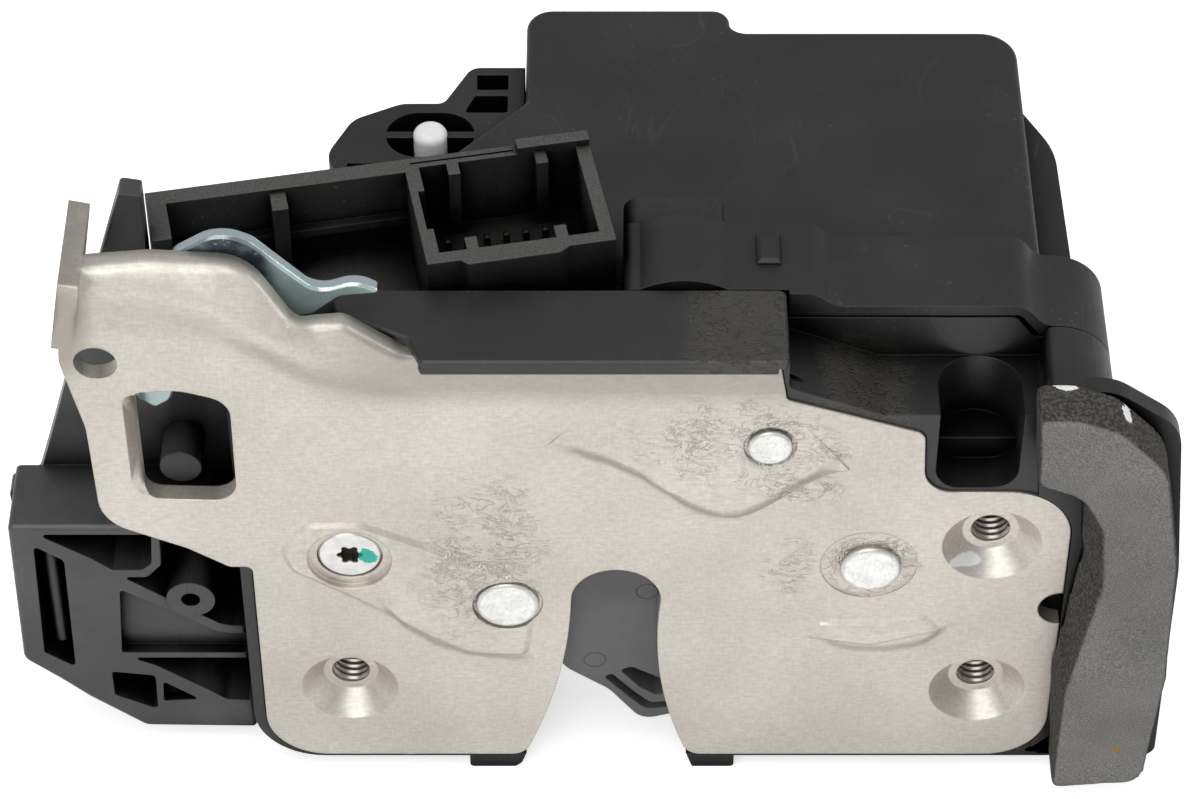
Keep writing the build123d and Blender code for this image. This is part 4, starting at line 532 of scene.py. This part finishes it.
def opencellFoam(look):
    material, shader, wire, where = newMaterial("foam", Specular_IOR_Level=0.15)
    cells = wire.node("ShaderNodeTexVoronoi", {"feature": "F1"}, ("Vector", where), ("Scale", 3200), out=0)
    fine = wire.noise(where, 5200, 1.0, 0.6)
    cloud = wire.noise(where, 70, 4.0, 0.6)
    facing = wire.node("ShaderNodeTexCoord", {}, out=1)
    cut = 1 - wire.ramp(wire.part(facing, 1) * -1, 0.55, 0.93)  # skin in front, cut cells on the walls
    colour = wire.blend(wire.ramp(cloud, 0.35, 0.65), *map(opaque, look["skin"]))
    colour = wire.blend(wire.ramp(fine, 0.48, 0.62) * 0.55, colour, opaque(look["pores"]))
    colour = wire.blend((1 - wire.ramp(fine, 0.30, 0.42)) * 0.55, colour, opaque(look["walls"]))
    torn = wire.noise(where, 2300, 2.0, 0.6)
    openCells = wire.blend(wire.ramp(torn, 0.42, 0.62), *map(opaque, look["torn"]))
    colour = wire.blend(cut * 0.85, colour, openCells)
    chips = wire.union([wire.oval(where, *chip) for chip in look["chips"]])
    colour = wire.blend(chips, colour, opaque(look["chip"]))
    rust = wire.oval(where, *look["rustSpot"])
    plug(shader, "Base Color", wire.blend(rust, colour, opaque(look["rust"])))
    plug(shader, "Roughness", fine * 0.1 + 0.85)
    relief = fine * 0.5 - cells * 0.5 + cut * torn * 1.6
    plug(shader, "Normal", wire.bump(relief, 0.7, 0.16 * mm))
    return material


def buildFoam(spec):
    bm = bmesh.new()
    ring = [bm.verts.new((x * mm, spec["back"] * mm, z * mm)) for x, z, radius in spec["corners"]]
    bm.faces.new(ring)
    count = len(ring)
    for index, (corner, (x, z, radius)) in enumerate(zip(ring, spec["corners"])):
        before, after = spec["corners"][index - 1], spec["corners"][(index + 1) % count]
        inward = Vector((x - before[0], z - before[1]))
        outward = Vector((after[0] - x, after[1] - z))
        cut = radius * math.tan(inward.angle(outward) / 2)
        bmesh.ops.bevel(bm, geom=[corner], offset=cut * mm, segments=6, profile=0.5, affect="VERTICES", material=-1)
    sheet = bm.faces[:]
    grown = bmesh.ops.extrude_face_region(bm, geom=sheet)["geom"]
    frontVerts = [v for v in grown if isinstance(v, bmesh.types.BMVert)]
    bmesh.ops.translate(bm, verts=frontVerts, vec=(0, (spec["front"] - spec["back"]) * mm, 0))
    right, top, foot, full = (value * mm for value in spec["leanLimit"])
    for vertex in bm.verts:  # the knife left the inner wall leaning, less towards its foot
        if vertex not in frontVerts and vertex.co.x < right and vertex.co.z < top:
            vertex.co.x -= spec["lean"] * mm * min(1, max(0, (vertex.co.z - foot) / (full - foot)))
    bmesh.ops.recalc_face_normals(bm, faces=bm.faces)
    rim = [e for e in bm.edges if all(v in frontVerts for v in e.verts)]
    bmesh.ops.bevel(bm, geom=rim, offset=spec["edge"] * mm, segments=3, profile=0.5, affect="EDGES", material=-1,
                    clamp_overlap=True)
    piece = newPiece("foamStrip", bm, opencellFoam(spec))
    remesh = piece.modifiers.new("even", "REMESH")
    remesh.mode, remesh.voxel_size = "VOXEL", spec["voxel"] * mm
    freeze(piece)
    for vertex in piece.data.vertices:  # soft waves and torn cells, always inwards
        place = vertex.co
        wave = 0.5 + 0.5 * noise.noise(place * spec["waveSize"])
        cell = 0.5 + 0.5 * noise.noise(place * spec["cellSize"])
        vertex.co = place - vertex.normal * (spec["wave"] * wave + spec["cells"] * cell) * mm
    piece.data.shade_smooth()
    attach(piece, "frame")
    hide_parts("foam_seal")


buildFoam(foam)

thread = {"places": [(47.8, 10.4), (47.8, -18.0), (-35.1, -17.5)], "pitch": 1.0, "start": 3.15,
          "profile": [(2.52, 0.0), (2.15, 0.36), (2.15, 0.50), (2.52, 0.86)],  # radius, share of the pitch
          "turns": 4.0, "steps": 40, "slant": (0.317, 1.0, 0.173)}  # slant: the way that the mesh is sorted


def buildThread(name, x, z, spec):
    bm = bmesh.new()
    ring = [bm.verts.new(((x + radius) * mm, (spec["start"] + share * spec["pitch"]) * mm, z * mm))
            for radius, share in spec["profile"]]
    first = [bm.edges.new((ring[i], ring[(i + 1) % 4])) for i in range(4)]
    bmesh.ops.spin(bm, geom=ring + first, cent=(x * mm, 0, z * mm), axis=(0, 1, 0),
                   dvec=(0, spec["pitch"] / spec["steps"] * mm, 0), angle=spec["turns"] * 2 * math.pi,
                   steps=int(spec["turns"] * spec["steps"]), use_merge=False, use_duplicate=False)
    bmesh.ops.holes_fill(bm, edges=[e for e in bm.edges if e.is_boundary], sides=4)
    bmesh.ops.recalc_face_normals(bm, faces=bm.faces)
    slant = Vector(spec["slant"])  # spin leaves no fixed order
    bm.verts.sort(key=lambda vertex: vertex.co.dot(slant))
    bm.faces.sort(key=lambda face: face.calc_center_median().dot(slant))
    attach(newPiece(name, bm, threadSteel), "frame")


for index, (x, z) in enumerate(thread["places"]):
    buildThread("thread" + str(index + 1), x, z, thread)
